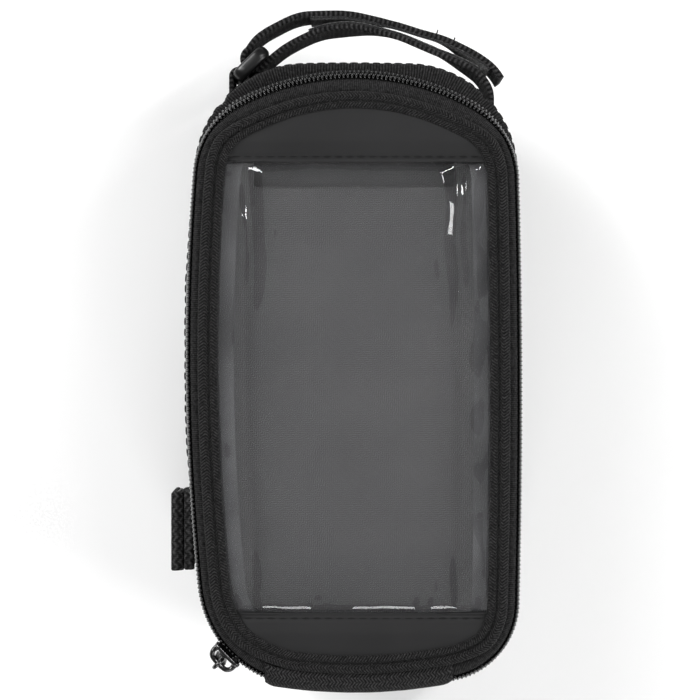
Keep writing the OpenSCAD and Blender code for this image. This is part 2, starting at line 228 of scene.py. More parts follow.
class Build:
    """Collects the faces of one piece."""

    def __init__(self):
        self.verts = []
        self.faces = []
        self.uvs = []

    def grid(self, rows, u, v, close=False, wrap=None, flip=False):
        """Joins rows of points; u and v place each point in the cloth, and wrap is u's length round."""
        base = len(self.verts)
        n = len(rows[0])
        for row in rows:
            self.verts.extend(row)
        for j in range(len(rows) - 1):
            for i in range(n if close else n - 1):
                k = (i + 1) % n
                low, high = base + j * n, base + (j + 1) * n
                quad = [low + i, low + k, high + k, high + i]
                ui, uk = u[i], u[k] if k else wrap
                place = [(ui, v[j]), (uk, v[j]), (uk, v[j + 1]), (ui, v[j + 1])]
                if flip:
                    quad.reverse()
                    place.reverse()
                self.faces.append(quad)
                self.uvs.append(place)

    def piece(self, name, material, body, slot):
        """A smooth mesh in metres, with the cloth's own uv map."""
        mesh = bpy.data.meshes.new(name)
        mesh.from_pydata([tuple(float(c) * MM for c in v) for v in self.verts], [], self.faces)
        layer = mesh.uv_layers.new(name="UVMap")
        layer.data.foreach_set("uv", [c * MM for face in self.uvs for pair in face for c in pair])
        mesh.polygons.foreach_set("use_smooth", [True] * len(mesh.polygons))
        mesh.materials.append(material)
        return place_piece(name, mesh, body)


def cumulative(rows):
    """How far each row is from the first, measured a third of the way along them."""
    middles = [np.asarray(row)[len(row) // 3] for row in rows]
    steps = [0.0]
    for a, b in zip(middles, middles[1:]):
        steps.append(steps[-1] + float(np.linalg.norm(np.asarray(b) - np.asarray(a))))
    return steps


def around(inset, z, points=ZIP_PTS, normals=ZIP_OUT):
    """A row of points round an outline; inset and z are numbers, or one number for each point."""
    inset = np.broadcast_to(np.asarray(inset, float), (len(points),))
    z = np.broadcast_to(np.asarray(z, float), (len(points),))
    return np.column_stack([points - normals * inset[:, None], z])


def around_body(inset, z):
    """A row of points round the outline of the walls."""
    return around(inset, z, BODY_PTS, BODY_OUT)


def tube_round(name, rows, material, body, slot):
    """A closed ring of material: rows go round its section, and the last joins the first."""
    build = Build()
    u, wrap = lengths_round(np.asarray(rows[0])[:, :2])
    rows = list(rows) + [rows[0]]
    build.grid(rows, u, cumulative(rows), close=True, wrap=wrap)
    piece = build.piece(name, material, body, slot)
    close_up(piece)
    return piece


def close_up(piece, gap=1e-6):
    """Merges doubled points and turns every face outwards."""
    edit = bmesh.new()
    edit.from_mesh(piece.data)
    bmesh.ops.remove_doubles(edit, verts=edit.verts, dist=gap)
    bmesh.ops.recalc_face_normals(edit, faces=edit.faces)
    edit.to_mesh(piece.data)
    edit.free()


def thicken(piece, mm):
    """Gives a skin its thickness, inwards."""
    solid = piece.modifiers.new("thickness", "SOLIDIFY")
    solid.thickness = mm * MM
    solid.offset = -1.0
    solid.use_rim = True


def spline(points, cuts):
    """A smooth curve through points."""
    points = [np.asarray(p, float) for p in points]
    out = []
    for i in range(len(points) - 1):
        a, b = points[max(i - 1, 0)], points[i]
        c, e = points[i + 1], points[min(i + 2, len(points) - 1)]
        for k in range(cuts):
            t = k / cuts
            bent = (2 * a - 5 * b + 4 * c - e) * t**2
            out.append(0.5 * (2 * b + (c - a) * t + bent + (3 * b - a - 3 * c + e) * t**3))
    out.append(points[-1])
    return np.array(out)


def evenly(path, pitch, close=False):
    """Points at equal distances along a path, with the direction of the path at each."""
    path = np.asarray(path, float)
    if close:
        path = np.vstack([path, path[:1]])
    run = run_along(path)
    count = max(2, int(round(run[-1] / pitch)) + (0 if close else 1))
    places = np.linspace(0, run[-1], count, endpoint=not close)

    def found(runs):
        return np.column_stack([np.interp(runs, run, path[:, k]) for k in range(3)])

    reach = 0.2
    along = found((places + reach) % (run[-1] + 1e-9)) - found(np.maximum(places - reach, 0))
    along /= np.maximum(np.linalg.norm(along, axis=1), 1e-9)[:, None]
    return found(places), along


def arc_points(centre, r, a, b, cuts):
    """Points on an arc from angle a to angle b, in degrees."""
    angles = np.radians(np.linspace(a, b, cuts + 1))
    return np.column_stack([centre[0] + r * np.cos(angles), centre[1] + r * np.sin(angles)])


def ribbon(name, path, wide, size, material, slot):
    """A strap: path is its middle line, wide its width's direction, size its width and thickness."""
    build = Build()
    path = np.asarray(path, float)
    wide = np.broadcast_to(np.asarray(wide, float), path.shape)
    face = unit(np.cross(unit(np.gradient(path, axis=0)), wide))
    h, t = size[0] / 2, size[1] / 2
    # One face and one rounded edge; turned half round, they are the other face and the other edge.
    section = [(-h + 0.5, t), (-h / 2, t), (0, t), (h / 2, t), (h - 0.5, t)]
    section += [(h - 0.1, t * 0.7), (h, 0), (h - 0.1, -t * 0.7)]
    section += [(-a, -b) for a, b in section]
    run = run_along(path)
    rows = [path + wide * a + face * b for a, b in section]
    rows.append(rows[0])
    across = [a for a, b in section] + [section[0][0]]
    build.grid(rows, run, across)
    n = len(path)
    for end in (0, n - 1):
        cap = [r * n + end for r in range(len(section))]
        build.faces.append(cap if end else cap[::-1])
        build.uvs.append([(run[end], s[0]) for s in (section if end else section[::-1])])
    strap = build.piece(name, material, "tub", slot)
    close_up(strap, 1e-8)
    return strap


def rounded_box(name, node, radius, material, body):
    """A small padded block with rounded edges, as large as a node of the frame."""
    low, high = (np.array(c / MM, float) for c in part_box(node))
    edit = bmesh.new()
    bmesh.ops.create_cube(edit, size=1)
    for v in edit.verts:
        v.co = Vector(((low + high) / 2 + np.array(v.co) * (high - low)) * MM)
    bmesh.ops.bevel(edit, geom=edit.edges[:], offset=radius * MM, segments=3, affect="EDGES", profile=0.5)
    bmesh.ops.recalc_face_normals(edit, faces=edit.faces)
    mesh = bpy.data.meshes.new(name)
    layer = edit.loops.layers.uv.new("UVMap")
    for f in edit.faces:
        axis = max(range(3), key=lambda k: abs(f.normal[k]))
        a, b = [(1, 2), (0, 2), (0, 1)][axis]
        for loop in f.loops:
            loop[layer].uv = (loop.vert.co[a], loop.vert.co[b])
        f.smooth = True
    edit.to_mesh(mesh)
    edit.free()
    mesh.materials.append(material)
    piece = place_piece(name, mesh, body)
    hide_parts(node)
    return piece


# ---------------------------------------------------------------- shader groups


def new_group(name, inputs, outputs):
    """An empty shader group with named sockets."""
    tree = bpy.data.node_groups.new(name, "ShaderNodeTree")
    for label, kind, value in inputs:
        socket = tree.interface.new_socket(name=label, in_out="INPUT", socket_type=kind)
        if value is not None:
            socket.default_value = value
    for label, kind in outputs:
        tree.interface.new_socket(name=label, in_out="OUTPUT", socket_type=kind)
    return tree, tree.nodes.new("NodeGroupInput"), tree.nodes.new("NodeGroupOutput")


def math_node(tree, operation, a, b=None):
    """A Math node whose inputs are numbers or sockets, and its result."""
    node = tree.nodes.new("ShaderNodeMath")
    node.operation = operation
    for socket, value in zip(node.inputs, (a, b)):
        if isinstance(value, (int, float)):
            socket.default_value = value
        elif value is not None:
            tree.links.new(value, socket)
    return node.outputs[0]


FLOAT = "NodeSocketFloat"
VECTOR = "NodeSocketVector"


def weave_group():
    """Cloth of threads that cross: Slant 1 and Repeat 2 is a plain weave, Repeat 4 a twill."""
    tree, inp, out = new_group(
        "woven_threads",
        [("Vector", VECTOR, None), ("Pitch U", FLOAT, 0.0005), ("Pitch V", FLOAT, 0.0005),
         ("Repeat", FLOAT, 2.0), ("Slant", FLOAT, 1.0), ("Unevenness", FLOAT, 0.15)],
        [("Height", FLOAT)],
    )
    calc = partial(math_node, tree)
    split = tree.nodes.new("ShaderNodeSeparateXYZ")
    tree.links.new(inp.outputs["Vector"], split.inputs[0])
    wobble = tree.nodes.new("ShaderNodeTexNoise")
    wobble.inputs["Scale"].default_value = 900
    wobble.inputs["Detail"].default_value = 1
    tree.links.new(inp.outputs["Vector"], wobble.inputs["Vector"])
    shift = calc("MULTIPLY", calc("SUBTRACT", wobble.outputs["Fac"], 0.5), inp.outputs["Unevenness"])
    x = calc("ADD", calc("DIVIDE", split.outputs["X"], inp.outputs["Pitch U"]), shift)
    y = calc("ADD", calc("DIVIDE", split.outputs["Y"], inp.outputs["Pitch V"]), shift)
    column, row = calc("FLOOR", x), calc("FLOOR", y)
    order = calc("ADD", column, calc("MULTIPLY", row, inp.outputs["Slant"]))
    place = calc("FRACT", calc("DIVIDE", order, inp.outputs["Repeat"]))
    warp = calc("LESS_THAN", place, 0.499)
    over = calc("MULTIPLY", warp, calc("SINE", calc("MULTIPLY", calc("FRACT", x), math.pi)))
    ridge = calc("SINE", calc("MULTIPLY", calc("FRACT", y), math.pi))
    under = calc("MULTIPLY", calc("SUBTRACT", 1.0, warp), ridge)
    tree.links.new(calc("ADD", over, under), out.inputs["Height"])
    return tree


def chevron_group():
    """Ribs that lean one way and then the other, as in webbing and braided tape."""
    tree, inp, out = new_group(
        "herringbone_ribs",
        [("Vector", VECTOR, None), ("Pitch", FLOAT, 0.0012), ("Band", FLOAT, 0.003), ("Lean", FLOAT, 1.0)],
        [("Height", FLOAT)],
    )
    split = tree.nodes.new("ShaderNodeSeparateXYZ")
    tree.links.new(inp.outputs["Vector"], split.inputs[0])
    calc = partial(math_node, tree)
    zigzag = calc("PINGPONG", split.outputs["Y"], inp.outputs["Band"])
    lean = calc("MULTIPLY", zigzag, inp.outputs["Lean"])
    turns = calc("DIVIDE", calc("ADD", split.outputs["X"], lean), inp.outputs["Pitch"])
    wave = calc("SINE", calc("MULTIPLY", turns, 2 * math.pi))
    across = calc("DIVIDE", split.outputs["Y"], inp.outputs["Pitch"])
    fine = calc("SINE", calc("MULTIPLY", across, 5 * math.pi))
    both = calc("ADD", calc("MULTIPLY", wave, 0.4), calc("MULTIPLY", fine, 0.12))
    tree.links.new(calc("ADD", both, 0.5), out.inputs["Height"])
    return tree


def handled_group():
    """Soft patches of use and dust, and fine grain."""
    tree, inp, out = new_group(
        "handled",
        [("Vector", VECTOR, None), ("Patch", FLOAT, 30.0), ("Grain", FLOAT, 900.0)],
        [("Patches", FLOAT), ("Specks", FLOAT)],
    )
    for label, target, detail in (("Patch", "Patches", 4), ("Grain", "Specks", 2)):
        cloud = tree.nodes.new("ShaderNodeTexNoise")
        cloud.inputs["Detail"].default_value = detail
        tree.links.new(inp.outputs["Vector"], cloud.inputs["Vector"])
        tree.links.new(inp.outputs[label], cloud.inputs["Scale"])
        tree.links.new(cloud.outputs["Fac"], out.inputs[target])
    return tree


WEAVE = weave_group()
CHEVRON = chevron_group()
HANDLED = handled_group()


# ---------------------------------------------------------------- materials


class Finish:
    """One material, with its shader, its cloth coordinates and its object coordinates."""

    def __init__(self, name, roughness, metallic=0.0, specular=0.5, sheen=0.0):
        self.material = bpy.data.materials.new(name)
        self.material.use_nodes = True
        self.tree = self.material.node_tree
        self.shader = self.tree.nodes["Principled BSDF"]
        self.shader.inputs["Roughness"].default_value = roughness
        self.shader.inputs["Metallic"].default_value = metallic
        self.shader.inputs["Specular IOR Level"].default_value = specular
        self.shader.inputs["Sheen Weight"].default_value = sheen
        coords = self.tree.nodes.new("ShaderNodeTexCoord")
        self.uv, self.place = coords.outputs["UV"], coords.outputs["Object"]

    def group(self, tree, vector, **values):
        """A shader group on a vector, with the inputs that differ from its own."""
        node = self.tree.nodes.new("ShaderNodeGroup")
        node.node_tree = tree
        self.tree.links.new(vector, node.inputs["Vector"])
        for label, value in values.items():
            node.inputs[label.replace("_", " ")].default_value = value
        return node

    def ramp(self, factor, low, high, low_at=0.0, high_at=1.0):
        """Puts a value between two greys or colours."""
        node = self.tree.nodes.new("ShaderNodeValToRGB")
        node.color_ramp.elements[0].position = low_at
        node.color_ramp.elements[1].position = high_at
        for element, colour in zip(node.color_ramp.elements, (low, high)):
            element.color = (*colour, 1)
        self.tree.links.new(factor, node.inputs[0])
        return node.outputs["Color"]

    def multiply(self, a, b):
        """Two colour sockets multiplied together."""
        node = self.tree.nodes.new("ShaderNodeMix")
        node.data_type = "RGBA"
        node.blend_type = "MULTIPLY"
        node.inputs[0].default_value = 1.0
        self.tree.links.new(a, node.inputs[6])
        self.tree.links.new(b, node.inputs[7])
        return node.outputs[2]

    def colour(self, socket):
        self.tree.links.new(socket, self.shader.inputs["Base Color"])

    def rough(self, factor, low, high):
        """Lets the roughness wander between two values."""
        node = self.tree.nodes.new("ShaderNodeMapRange")
        node.inputs["To Min"].default_value = low
        node.inputs["To Max"].default_value = high
        self.tree.links.new(factor, node.inputs["Value"])
        self.tree.links.new(node.outputs[0], self.shader.inputs["Roughness"])

    def bump(self, heights):
        """Adds bumps, each a height socket with its depth in millimetres and strength."""
        normal = None
        for height, depth, strength in heights:
            node = self.tree.nodes.new("ShaderNodeBump")
            node.inputs["Distance"].default_value = depth * MM
            node.inputs["Strength"].default_value = strength
            self.tree.links.new(height, node.inputs["Height"])
            if normal is not None:
                self.tree.links.new(normal, node.inputs["Normal"])
            normal = node.outputs["Normal"]
        self.tree.links.new(normal, self.shader.inputs["Normal"])


def cloth(name, dark, light, pitch, roughness, depth, specular, sheen=0.1, repeat=2.0):
    """Woven cloth whose threads are lit along their ridges."""
    f = Finish(name, roughness[0], sheen=sheen, specular=specular)
    f.shader.inputs["Sheen Roughness"].default_value = 0.5
    weave = f.group(WEAVE, f.uv, Pitch_U=pitch * MM, Pitch_V=pitch * MM, Repeat=repeat)
    use = f.group(HANDLED, f.place)
    threads = f.ramp(weave.outputs["Height"], dark, light, 0.1, 0.95)
    worn = f.ramp(use.outputs["Patches"], (0.82, 0.82, 0.82), (1.18, 1.17, 1.15), 0.3, 0.7)
    f.colour(f.multiply(threads, worn))
    f.rough(use.outputs["Patches"], *roughness)
    f.bump([(use.outputs["Specks"], 0.03, 0.5), (weave.outputs["Height"], depth, 0.9)])
    return f.material


def ribbed(name, dark, light, pitch, band, lean, depth):
    """Braided tape or webbing, whose threads are uneven in tone, with a painted highlight on the rib crests
    and painted shade in the grooves.
    """
    f = Finish(name, 0.7, sheen=0.02, specular=0.1)
    f.shader.inputs["Sheen Roughness"].default_value = 0.5
    ribs = f.group(CHEVRON, f.uv, Pitch=pitch * MM, Band=band * MM, Lean=lean)
    use = f.group(HANDLED, f.place, Grain=1350.0)
    # Painted highlight on the rib crests and painted shade in the grooves: the colour follows the ribs'
    # height.
    threads = f.ramp(ribs.outputs["Height"], dark, light, 0.1, 0.9)
    mottled = f.ramp(use.outputs["Specks"], (0.4, 0.4, 0.4), (1.65, 1.62, 1.58), 0.34, 0.66)
    f.colour(f.multiply(threads, mottled))
    f.rough(use.outputs["Patches"], 0.7, 0.9)
    f.bump([(use.outputs["Specks"], 0.3, 0.8), (ribs.outputs["Height"], depth, 1.0)])
    return f.material


def moulded(name, dark, light, roughness, grain=700.0, depth=0.02, specular=0.5, coat=0.0):
    """Plastic, metal or coated cloth with a fine even grain."""
    f = Finish(name, roughness[0], specular=specular)
    f.shader.inputs["Coat Weight"].default_value = coat
    f.shader.inputs["Coat Roughness"].default_value = 0.15
    use = f.group(HANDLED, f.place, Patch=45.0, Grain=grain)
    f.colour(f.ramp(use.outputs["Patches"], dark, light, 0.3, 0.7))
    f.rough(use.outputs["Patches"], *roughness)
    f.bump([(use.outputs["Specks"], depth, 0.6)])
    return f.material


def fuzzy(name, dark, light, pitch):
    """The brushed face of hook or loop tape."""
    f = Finish(name, 0.95, specular=0.1, sheen=0.3)
    use = f.group(HANDLED, f.place, Patch=1400.0, Grain=3200.0)
    dots = f.group(WEAVE, f.uv, Pitch_U=pitch * MM, Pitch_V=pitch * MM, Repeat=2.0, Unevenness=0.8)
    f.colour(f.ramp(use.outputs["Specks"], dark, light, 0.35, 0.65))
    tufts = [(use.outputs["Patches"], 0.3, 1.0), (use.outputs["Specks"], 0.2, 1.0)]
    f.bump([(dots.outputs["Height"], 0.25, 0.8)] + tufts)
    return f.material


def film_material():
    """Clear glossy film that lamps shine through."""
    f = Finish("clear_film", 0.035, specular=0.5)
    f.shader.inputs["Base Color"].default_value = (0.97, 0.975, 0.98, 1)
    f.shader.inputs["Transmission Weight"].default_value = 1.0
    f.shader.inputs["IOR"].default_value = 1.5
    use = f.group(HANDLED, f.place, Patch=18.0, Grain=260.0)
    f.bump([(use.outputs["Patches"], 0.5, 0.25), (use.outputs["Specks"], 0.01, 0.15)])
    tree = f.tree
    clear = tree.nodes.new("ShaderNodeBsdfTransparent")
    clear.inputs["Color"].default_value = (0.9, 0.9, 0.9, 1)
    path = tree.nodes.new("ShaderNodeLightPath")
    mixer = tree.nodes.new("ShaderNodeMixShader")
    tree.links.new(path.outputs["Is Shadow Ray"], mixer.inputs[0])
    tree.links.new(f.shader.outputs[0], mixer.inputs[1])
    tree.links.new(clear.outputs[0], mixer.inputs[2])
    tree.links.new(mixer.outputs[0], tree.nodes["Material Output"].inputs["Surface"])
    return f.material


def reflective_material():
    """Silver-grey tape with a fine honeycomb of glass beads."""
    f = Finish("reflective_tape", 0.4, metallic=0.35)
    cells = f.tree.nodes.new("ShaderNodeTexVoronoi")
    cells.feature = "DISTANCE_TO_EDGE"
    cells.inputs["Scale"].default_value = 700
    f.tree.links.new(f.place, cells.inputs["Vector"])
    use = f.group(HANDLED, f.place)
    # Painted shade along the cell edges, where the bump sinks between the beads; the cell middles are
    # lighter.
    f.colour(f.ramp(cells.outputs["Distance"], (0.14, 0.14, 0.14), (0.27, 0.27, 0.265), 0.02, 0.2))
    f.rough(use.outputs["Patches"], 0.32, 0.5)
    f.bump([(cells.outputs["Distance"], 0.05, 0.5)])
    return f.material


def grip_material():
    """Rubbery pad with rows of small raised dots."""
    f = Finish("grip_pad", 0.75, specular=0.3)
    dots = f.group(WEAVE, f.uv, Pitch_U=2.6 * MM, Pitch_V=2.6 * MM, Repeat=2.0, Unevenness=0.0)
    use = f.group(HANDLED, f.place)
    # Painted highlight on the raised dots and painted shade between them: the colour follows the dots'
    # height.
    f.colour(f.ramp(dots.outputs["Height"], (0.011, 0.011, 0.011), (0.02, 0.02, 0.02), 0.1, 0.9))
    f.rough(use.outputs["Patches"], 0.65, 0.85)
    f.bump([(dots.outputs["Height"], 0.6, 0.8), (use.outputs["Specks"], 0.04, 0.6)])
    return f.material


def grey(level):
    """A grey a trace towards blue."""
    return (level, level, level * (1 + 0.04))


SHELL = cloth("shell_fabric", grey(0.005), grey(0.02), 0.55, (0.6, 0.75), depth=0.14, specular=0.18)
LINING = cloth("lining_twill", grey(0.005), grey(0.04), 0.62, (0.5, 0.65), depth=0.1, specular=0.15,
               sheen=0.0, repeat=4.0)
WALL_LINING = cloth("wall_lining_cloth", grey(0.016), grey(0.04), 0.5, (0.5, 0.65), depth=0.1, specular=0.2)
# Ribbed cloth: the painted shade in its rib grooves and the painted highlight on its rib crests, then the
# ribs' pitch, band width, lean and depth.
PIPING = ribbed("piping_fabric", grey(0.002), grey(0.024), 0.95, 1.5, 0.8, 0.42)
WEBBING = ribbed("webbing", grey(0.004), grey(0.036), 1.5, 1.6, 0.6, 0.5)
BINDING = ribbed("binding_tape", grey(0.003), grey(0.022), 0.9, 40.0, 0.0, 0.25)
HINGE_CLOTH = ribbed("hinge_cloth", grey(0.003), grey(0.028), 1.0, 1.3, 0.8, 0.35)
ZIP_TAPE = ribbed("zip_tape", grey(0.003), grey(0.022), 0.6, 60.0, 0.0, 0.14)
FUZZY = fuzzy("fuzzy_tape", grey(0.004), grey(0.022), 0.9)
COATED = moulded("coated_cloth", grey(0.0085), grey(0.011), (0.48, 0.56), 1500.0, depth=0.015, specular=0.22)
TEETH = moulded("coil_nylon", grey(0.002), grey(0.005), (0.16, 0.26), 500.0, depth=0.01)
RING_PLASTIC = moulded("ring_plastic", grey(0.004), grey(0.007), (0.26, 0.34), 900.0, depth=0.012,
                       specular=0.4)
SLIDER_METAL = moulded("slider_metal", grey(0.004), grey(0.007), (0.1, 0.18), 400.0, depth=0.01, coat=0.4)
FOAM = moulded("foam_sheet", grey(0.02), grey(0.045), (0.8, 0.95), 2600.0, depth=0.2, specular=0.1)
STIFFENER = moulded("stiffener_sheet", grey(0.03), grey(0.045), (0.5, 0.6))
THREAD = moulded("sewing_thread", grey(0.002), grey(0.006), (0.6, 0.75), 1800.0, depth=0.05, specular=0.2)
REFLECTIVE = reflective_material()
GRIP = grip_material()
FILM = film_material()


# ---------------------------------------------------------------- beads, for teeth and stitches


def beads_tree():
    """Sets a small rounded bead on every point, its length along `along` and its top towards `up`."""
    tree = bpy.data.node_groups.new("beads_on_points", "GeometryNodeTree")
    face = tree.interface
    face.new_socket(name="Geometry", in_out="INPUT", socket_type="NodeSocketGeometry")
    for label in ("Length", "Width", "Thickness", "Unevenness"):
        face.new_socket(name=label, in_out="INPUT", socket_type="NodeSocketFloat")
    for label in ("Sides", "Rings", "Seed"):
        face.new_socket(name=label, in_out="INPUT", socket_type="NodeSocketInt")
    face.new_socket(name="Material", in_out="INPUT", socket_type="NodeSocketMaterial")
    face.new_socket(name="Geometry", in_out="OUTPUT", socket_type="NodeSocketGeometry")
    node, link = tree.nodes.new, tree.links.new
    inp, out = node("NodeGroupInput"), node("NodeGroupOutput")
    ball = node("GeometryNodeMeshUVSphere")
    ball.inputs["Radius"].default_value = 0.5
    link(inp.outputs["Sides"], ball.inputs["Segments"])
    link(inp.outputs["Rings"], ball.inputs["Rings"])
    turn = node("GeometryNodeTransform")
    turn.inputs["Rotation"].default_value = (0, math.pi / 2, 0)
    link(ball.outputs["Mesh"], turn.inputs["Geometry"])
    size = node("ShaderNodeCombineXYZ")
    for label, axis in (("Length", "X"), ("Width", "Y"), ("Thickness", "Z")):
        link(inp.outputs[label], size.inputs[axis])
    shape = node("GeometryNodeTransform")
    link(turn.outputs["Geometry"], shape.inputs["Geometry"])
    link(size.outputs[0], shape.inputs["Scale"])
    directions = []
    for label in ("along", "up"):
        named = node("GeometryNodeInputNamedAttribute")
        named.data_type = "FLOAT_VECTOR"
        named.inputs["Name"].default_value = label
        directions.append(named.outputs["Attribute"])
    lie = node("FunctionNodeAlignRotationToVector")
    lie.axis = "X"
    link(directions[0], lie.inputs["Vector"])
    stand = node("FunctionNodeAlignRotationToVector")
    stand.axis = "Z"
    stand.pivot_axis = "X"
    link(lie.outputs["Rotation"], stand.inputs["Rotation"])
    link(directions[1], stand.inputs["Vector"])
    chance = node("FunctionNodeRandomValue")
    chance.data_type = "FLOAT"
    for operation, socket in (("SUBTRACT", chance.inputs[2]), ("ADD", chance.inputs[3])):
        link(math_node(tree, operation, 1.0, inp.outputs["Unevenness"]), socket)
    link(inp.outputs["Seed"], chance.inputs["Seed"])
    place = node("GeometryNodeInstanceOnPoints")
    link(inp.outputs["Geometry"], place.inputs["Points"])
    link(shape.outputs["Geometry"], place.inputs["Instance"])
    link(stand.outputs["Rotation"], place.inputs["Rotation"])
    link(chance.outputs[1], place.inputs["Scale"])
    real = node("GeometryNodeRealizeInstances")
    link(place.outputs["Instances"], real.inputs["Geometry"])
    smooth_shade = node("GeometryNodeSetShadeSmooth")
    link(real.outputs["Geometry"], smooth_shade.inputs["Geometry"])
    paint = node("GeometryNodeSetMaterial")
    link(smooth_shade.outputs["Geometry"], paint.inputs["Geometry"])
    link(inp.outputs["Material"], paint.inputs["Material"])
    link(paint.outputs["Geometry"], out.inputs["Geometry"])
    return tree


BEADS = beads_tree()


def bead_row(name, spots, along, up, size, material, body, rings, uneven, seed):
    """One piece of beads; size is their length, width and thickness."""
    mesh = bpy.data.meshes.new(name + "_points")
    mesh.from_pydata([tuple(float(c) * MM for c in p) for p in spots], [], [])
    for label, values in (("along", along), ("up", up)):
        layer = mesh.attributes.new(label, "FLOAT_VECTOR", "POINT")
        layer.data.foreach_set("vector", np.asarray(values, np.float32).ravel())
    guide = bpy.data.objects.new(name + "_points", mesh)
    bpy.context.scene.collection.objects.link(guide)
    grow = guide.modifiers.new("beads", "NODES")
    grow.node_group = BEADS
    wanted = {
        "Length": size[0] * MM, "Width": size[1] * MM, "Thickness": size[2] * MM, "Unevenness": uneven,
        "Sides": 8, "Rings": rings, "Seed": seed, "Material": material,
    }
    for item in BEADS.interface.items_tree:
        if item.in_out == "INPUT" and item.name in wanted:
            grow[item.identifier] = wanted[item.name]
    bpy.context.view_layer.update()
    shown = guide.evaluated_get(bpy.context.evaluated_depsgraph_get())
    grown = bpy.data.meshes.new_from_object(shown)
    grown.name = name
    bpy.data.objects.remove(guide)
    if not grown.materials or grown.materials[0] is None:
        grown.materials.clear()
        grown.materials.append(material)
    return place_piece(name, grown, body)


# A stitch's length, width and thickness, and how far its middle stands off the cloth.
STITCH = (2.5, 0.5, 0.4)
STITCH_LIFT = 0.12


class Seams:
    """Rows of stitches, kept until each body's are made in one piece."""

    def __init__(self):
        self.kept = {}

    def sew(self, body, path, up, pitch=3.4, close=False):
        """Lays stitches along a path; up is which way they stand, once or for each point."""
        spots, along = evenly(path, pitch, close)
        up = np.asarray(up, float)
        if up.ndim == 2:
            path = np.asarray(path, float)
            near = [int(np.argmin(np.sum((path - s) ** 2, axis=1))) for s in spots]
            up = up[near]
        else:
            up = np.broadcast_to(up, spots.shape)
        spots = spots + up * STITCH_LIFT
        kept = self.kept.setdefault(body, ([], [], []))
        for store, values in zip(kept, (spots, along, up)):
            store.append(values)

    def make(self):
        for body, parts in self.kept.items():
            spots, along, up = (np.vstack(p) for p in parts)
            bead_row(f"stitches_{body}", spots, along, up, STITCH, THREAD, body, 6, 0.06, 1)


seams = Seams()


# ---------------------------------------------------------------- body of the bag

EDGE_R = 3.5
SEAM_RUNS = [float(np.interp(s, WALK, BODY_RUN)) for s in SEAMS]


def run_gap(run, place):
    """How far a place is from another round the body, either way."""
    gap = np.abs(run - place)
    return np.minimum(gap, BODY_ROUND - gap)


def wall_inset(z):
    """How far the outer cloth lies inside the body outline at height z, all round."""
    lift = z - BASE_Z
    h = min(max(lift / (WALL_TOP - BASE_Z), 0), 1)
    bottom = EDGE_R - math.sqrt(EDGE_R**2 - (EDGE_R - lift) ** 2) if lift < EDGE_R else 0.0
    swell = math.sin(math.pi * h) ** 0.8
    left = smooth(-BODY_OUT[:, 0], 0.85, 1.0) * np.exp(-((BODY_PTS[:, 1] - 2) / 55) ** 2)
    bulge = swell * (1.0 + 1.7 * left)
    dips = sum(0.75 * np.exp(-((run_gap(BODY_RUN, s) / 1.0) ** 2)) for s in SEAM_RUNS)
    points = at_height(BODY_PTS, z)
    slack = 1.2 * ripples(points, 34, 3.0) + 0.5 * ripples(points * [1, 1, 0.6], 12, 8.0)
    slack += 0.16 * ripples(points, 4.5, 5.0)
    taut = 1 - 0.7 * smooth(BODY_OUT[:, 1], 0.6, 0.95)
    return bottom - bulge + dips * min(1, lift / 4) + slack * swell * taut


def wall_row(z, deeper=0.0):
    """The outer cloth's points at height z, or points a little deeper than it."""
    return around_body(wall_inset(z) + deeper, z)


def stretch(first, last):
    """Indices of the steps from one place round to another."""
    if first < last:
        return np.where((WALK >= first - 1e-6) & (WALK <= last + 1e-6))[0]
    return np.concatenate([np.where(WALK >= first - 1e-6)[0], np.where(WALK <= last + 1e-6)[0]])


def unrolled(picked, run, whole):
    """Distances along picked steps that keep growing past the start of the outline."""
    out = run[picked].copy()
    for i in range(1, len(out)):
        if out[i] < out[i - 1] - 1:
            out[i:] += whole
    return out


BODY_OUT_3D = np.column_stack([BODY_OUT, np.zeros(len(BODY_OUT))])
CLOTH_T = 0.9
WALL_HEIGHTS = [BASE_Z + x for x in (0, 0.12, 0.5, 1.2, 2.2, 3.5)]
WALL_HEIGHTS += list(np.linspace(12, 77, 27)) + [78.6, 79.6, 80]
PANELS = {
    "front_wall": (SEAM_FRONT_RIGHT, SEAM_FRONT_LEFT, "front_panel"),
    "left_wall": (SEAM_FRONT_LEFT, SEAM_REAR_LEFT, "left_panel"),
    "rear_wall": (SEAM_REAR_LEFT, SEAM_REAR_RIGHT, "rear_panel"),
    "right_wall": (SEAM_REAR_RIGHT, SEAM_FRONT_RIGHT, "right_panel"),
}


def make_walls():
    """The four padded walls, with a valley and two rows of stitches at each seam."""
    rows = [wall_row(z) for z in WALL_HEIGHTS]
    for name, (first, last, node) in PANELS.items():
        picked = stretch(first, last)
        build = Build()
        build.grid([r[picked] for r in rows], unrolled(picked, BODY_RUN, BODY_ROUND), WALL_HEIGHTS)
        piece = build.piece(name, SHELL, "tub", "shell_fabric")
        thicken(piece, CLOTH_T)
        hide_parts(node)
    for seam in SEAM_RUNS:
        for side in (-2.2, 2.2):
            place = (seam + side) % BODY_ROUND
            path, out = [], []
            for z in np.linspace(13, 75, 40):
                row = wall_row(z)
                path.append([np.interp(place, BODY_RUN, row[:, k]) for k in range(3)])
                out.append([np.interp(place, BODY_RUN, BODY_OUT_3D[:, k]) for k in range(3)])
            seams.sew("tub", path, np.array(out))


def sides_of(edge):
    """The left and right halves of a rounded outline, each as points that go up the bag."""
    edge = np.asarray(edge, float)[:, :2]
    edge = np.roll(edge, -int(np.argmin(edge[:, 1])), axis=0)
    top = int(np.argmax(edge[:, 1]))
    return np.vstack([edge[top:], edge[:1]])[::-1], edge[: top + 1]


def crowded(count):
    """Steps from 0 to 1 that crowd a little towards both ends."""
    t = np.linspace(0, 1, count)
    return 0.55 * t + 0.45 * (1 - np.cos(math.pi * t)) / 2


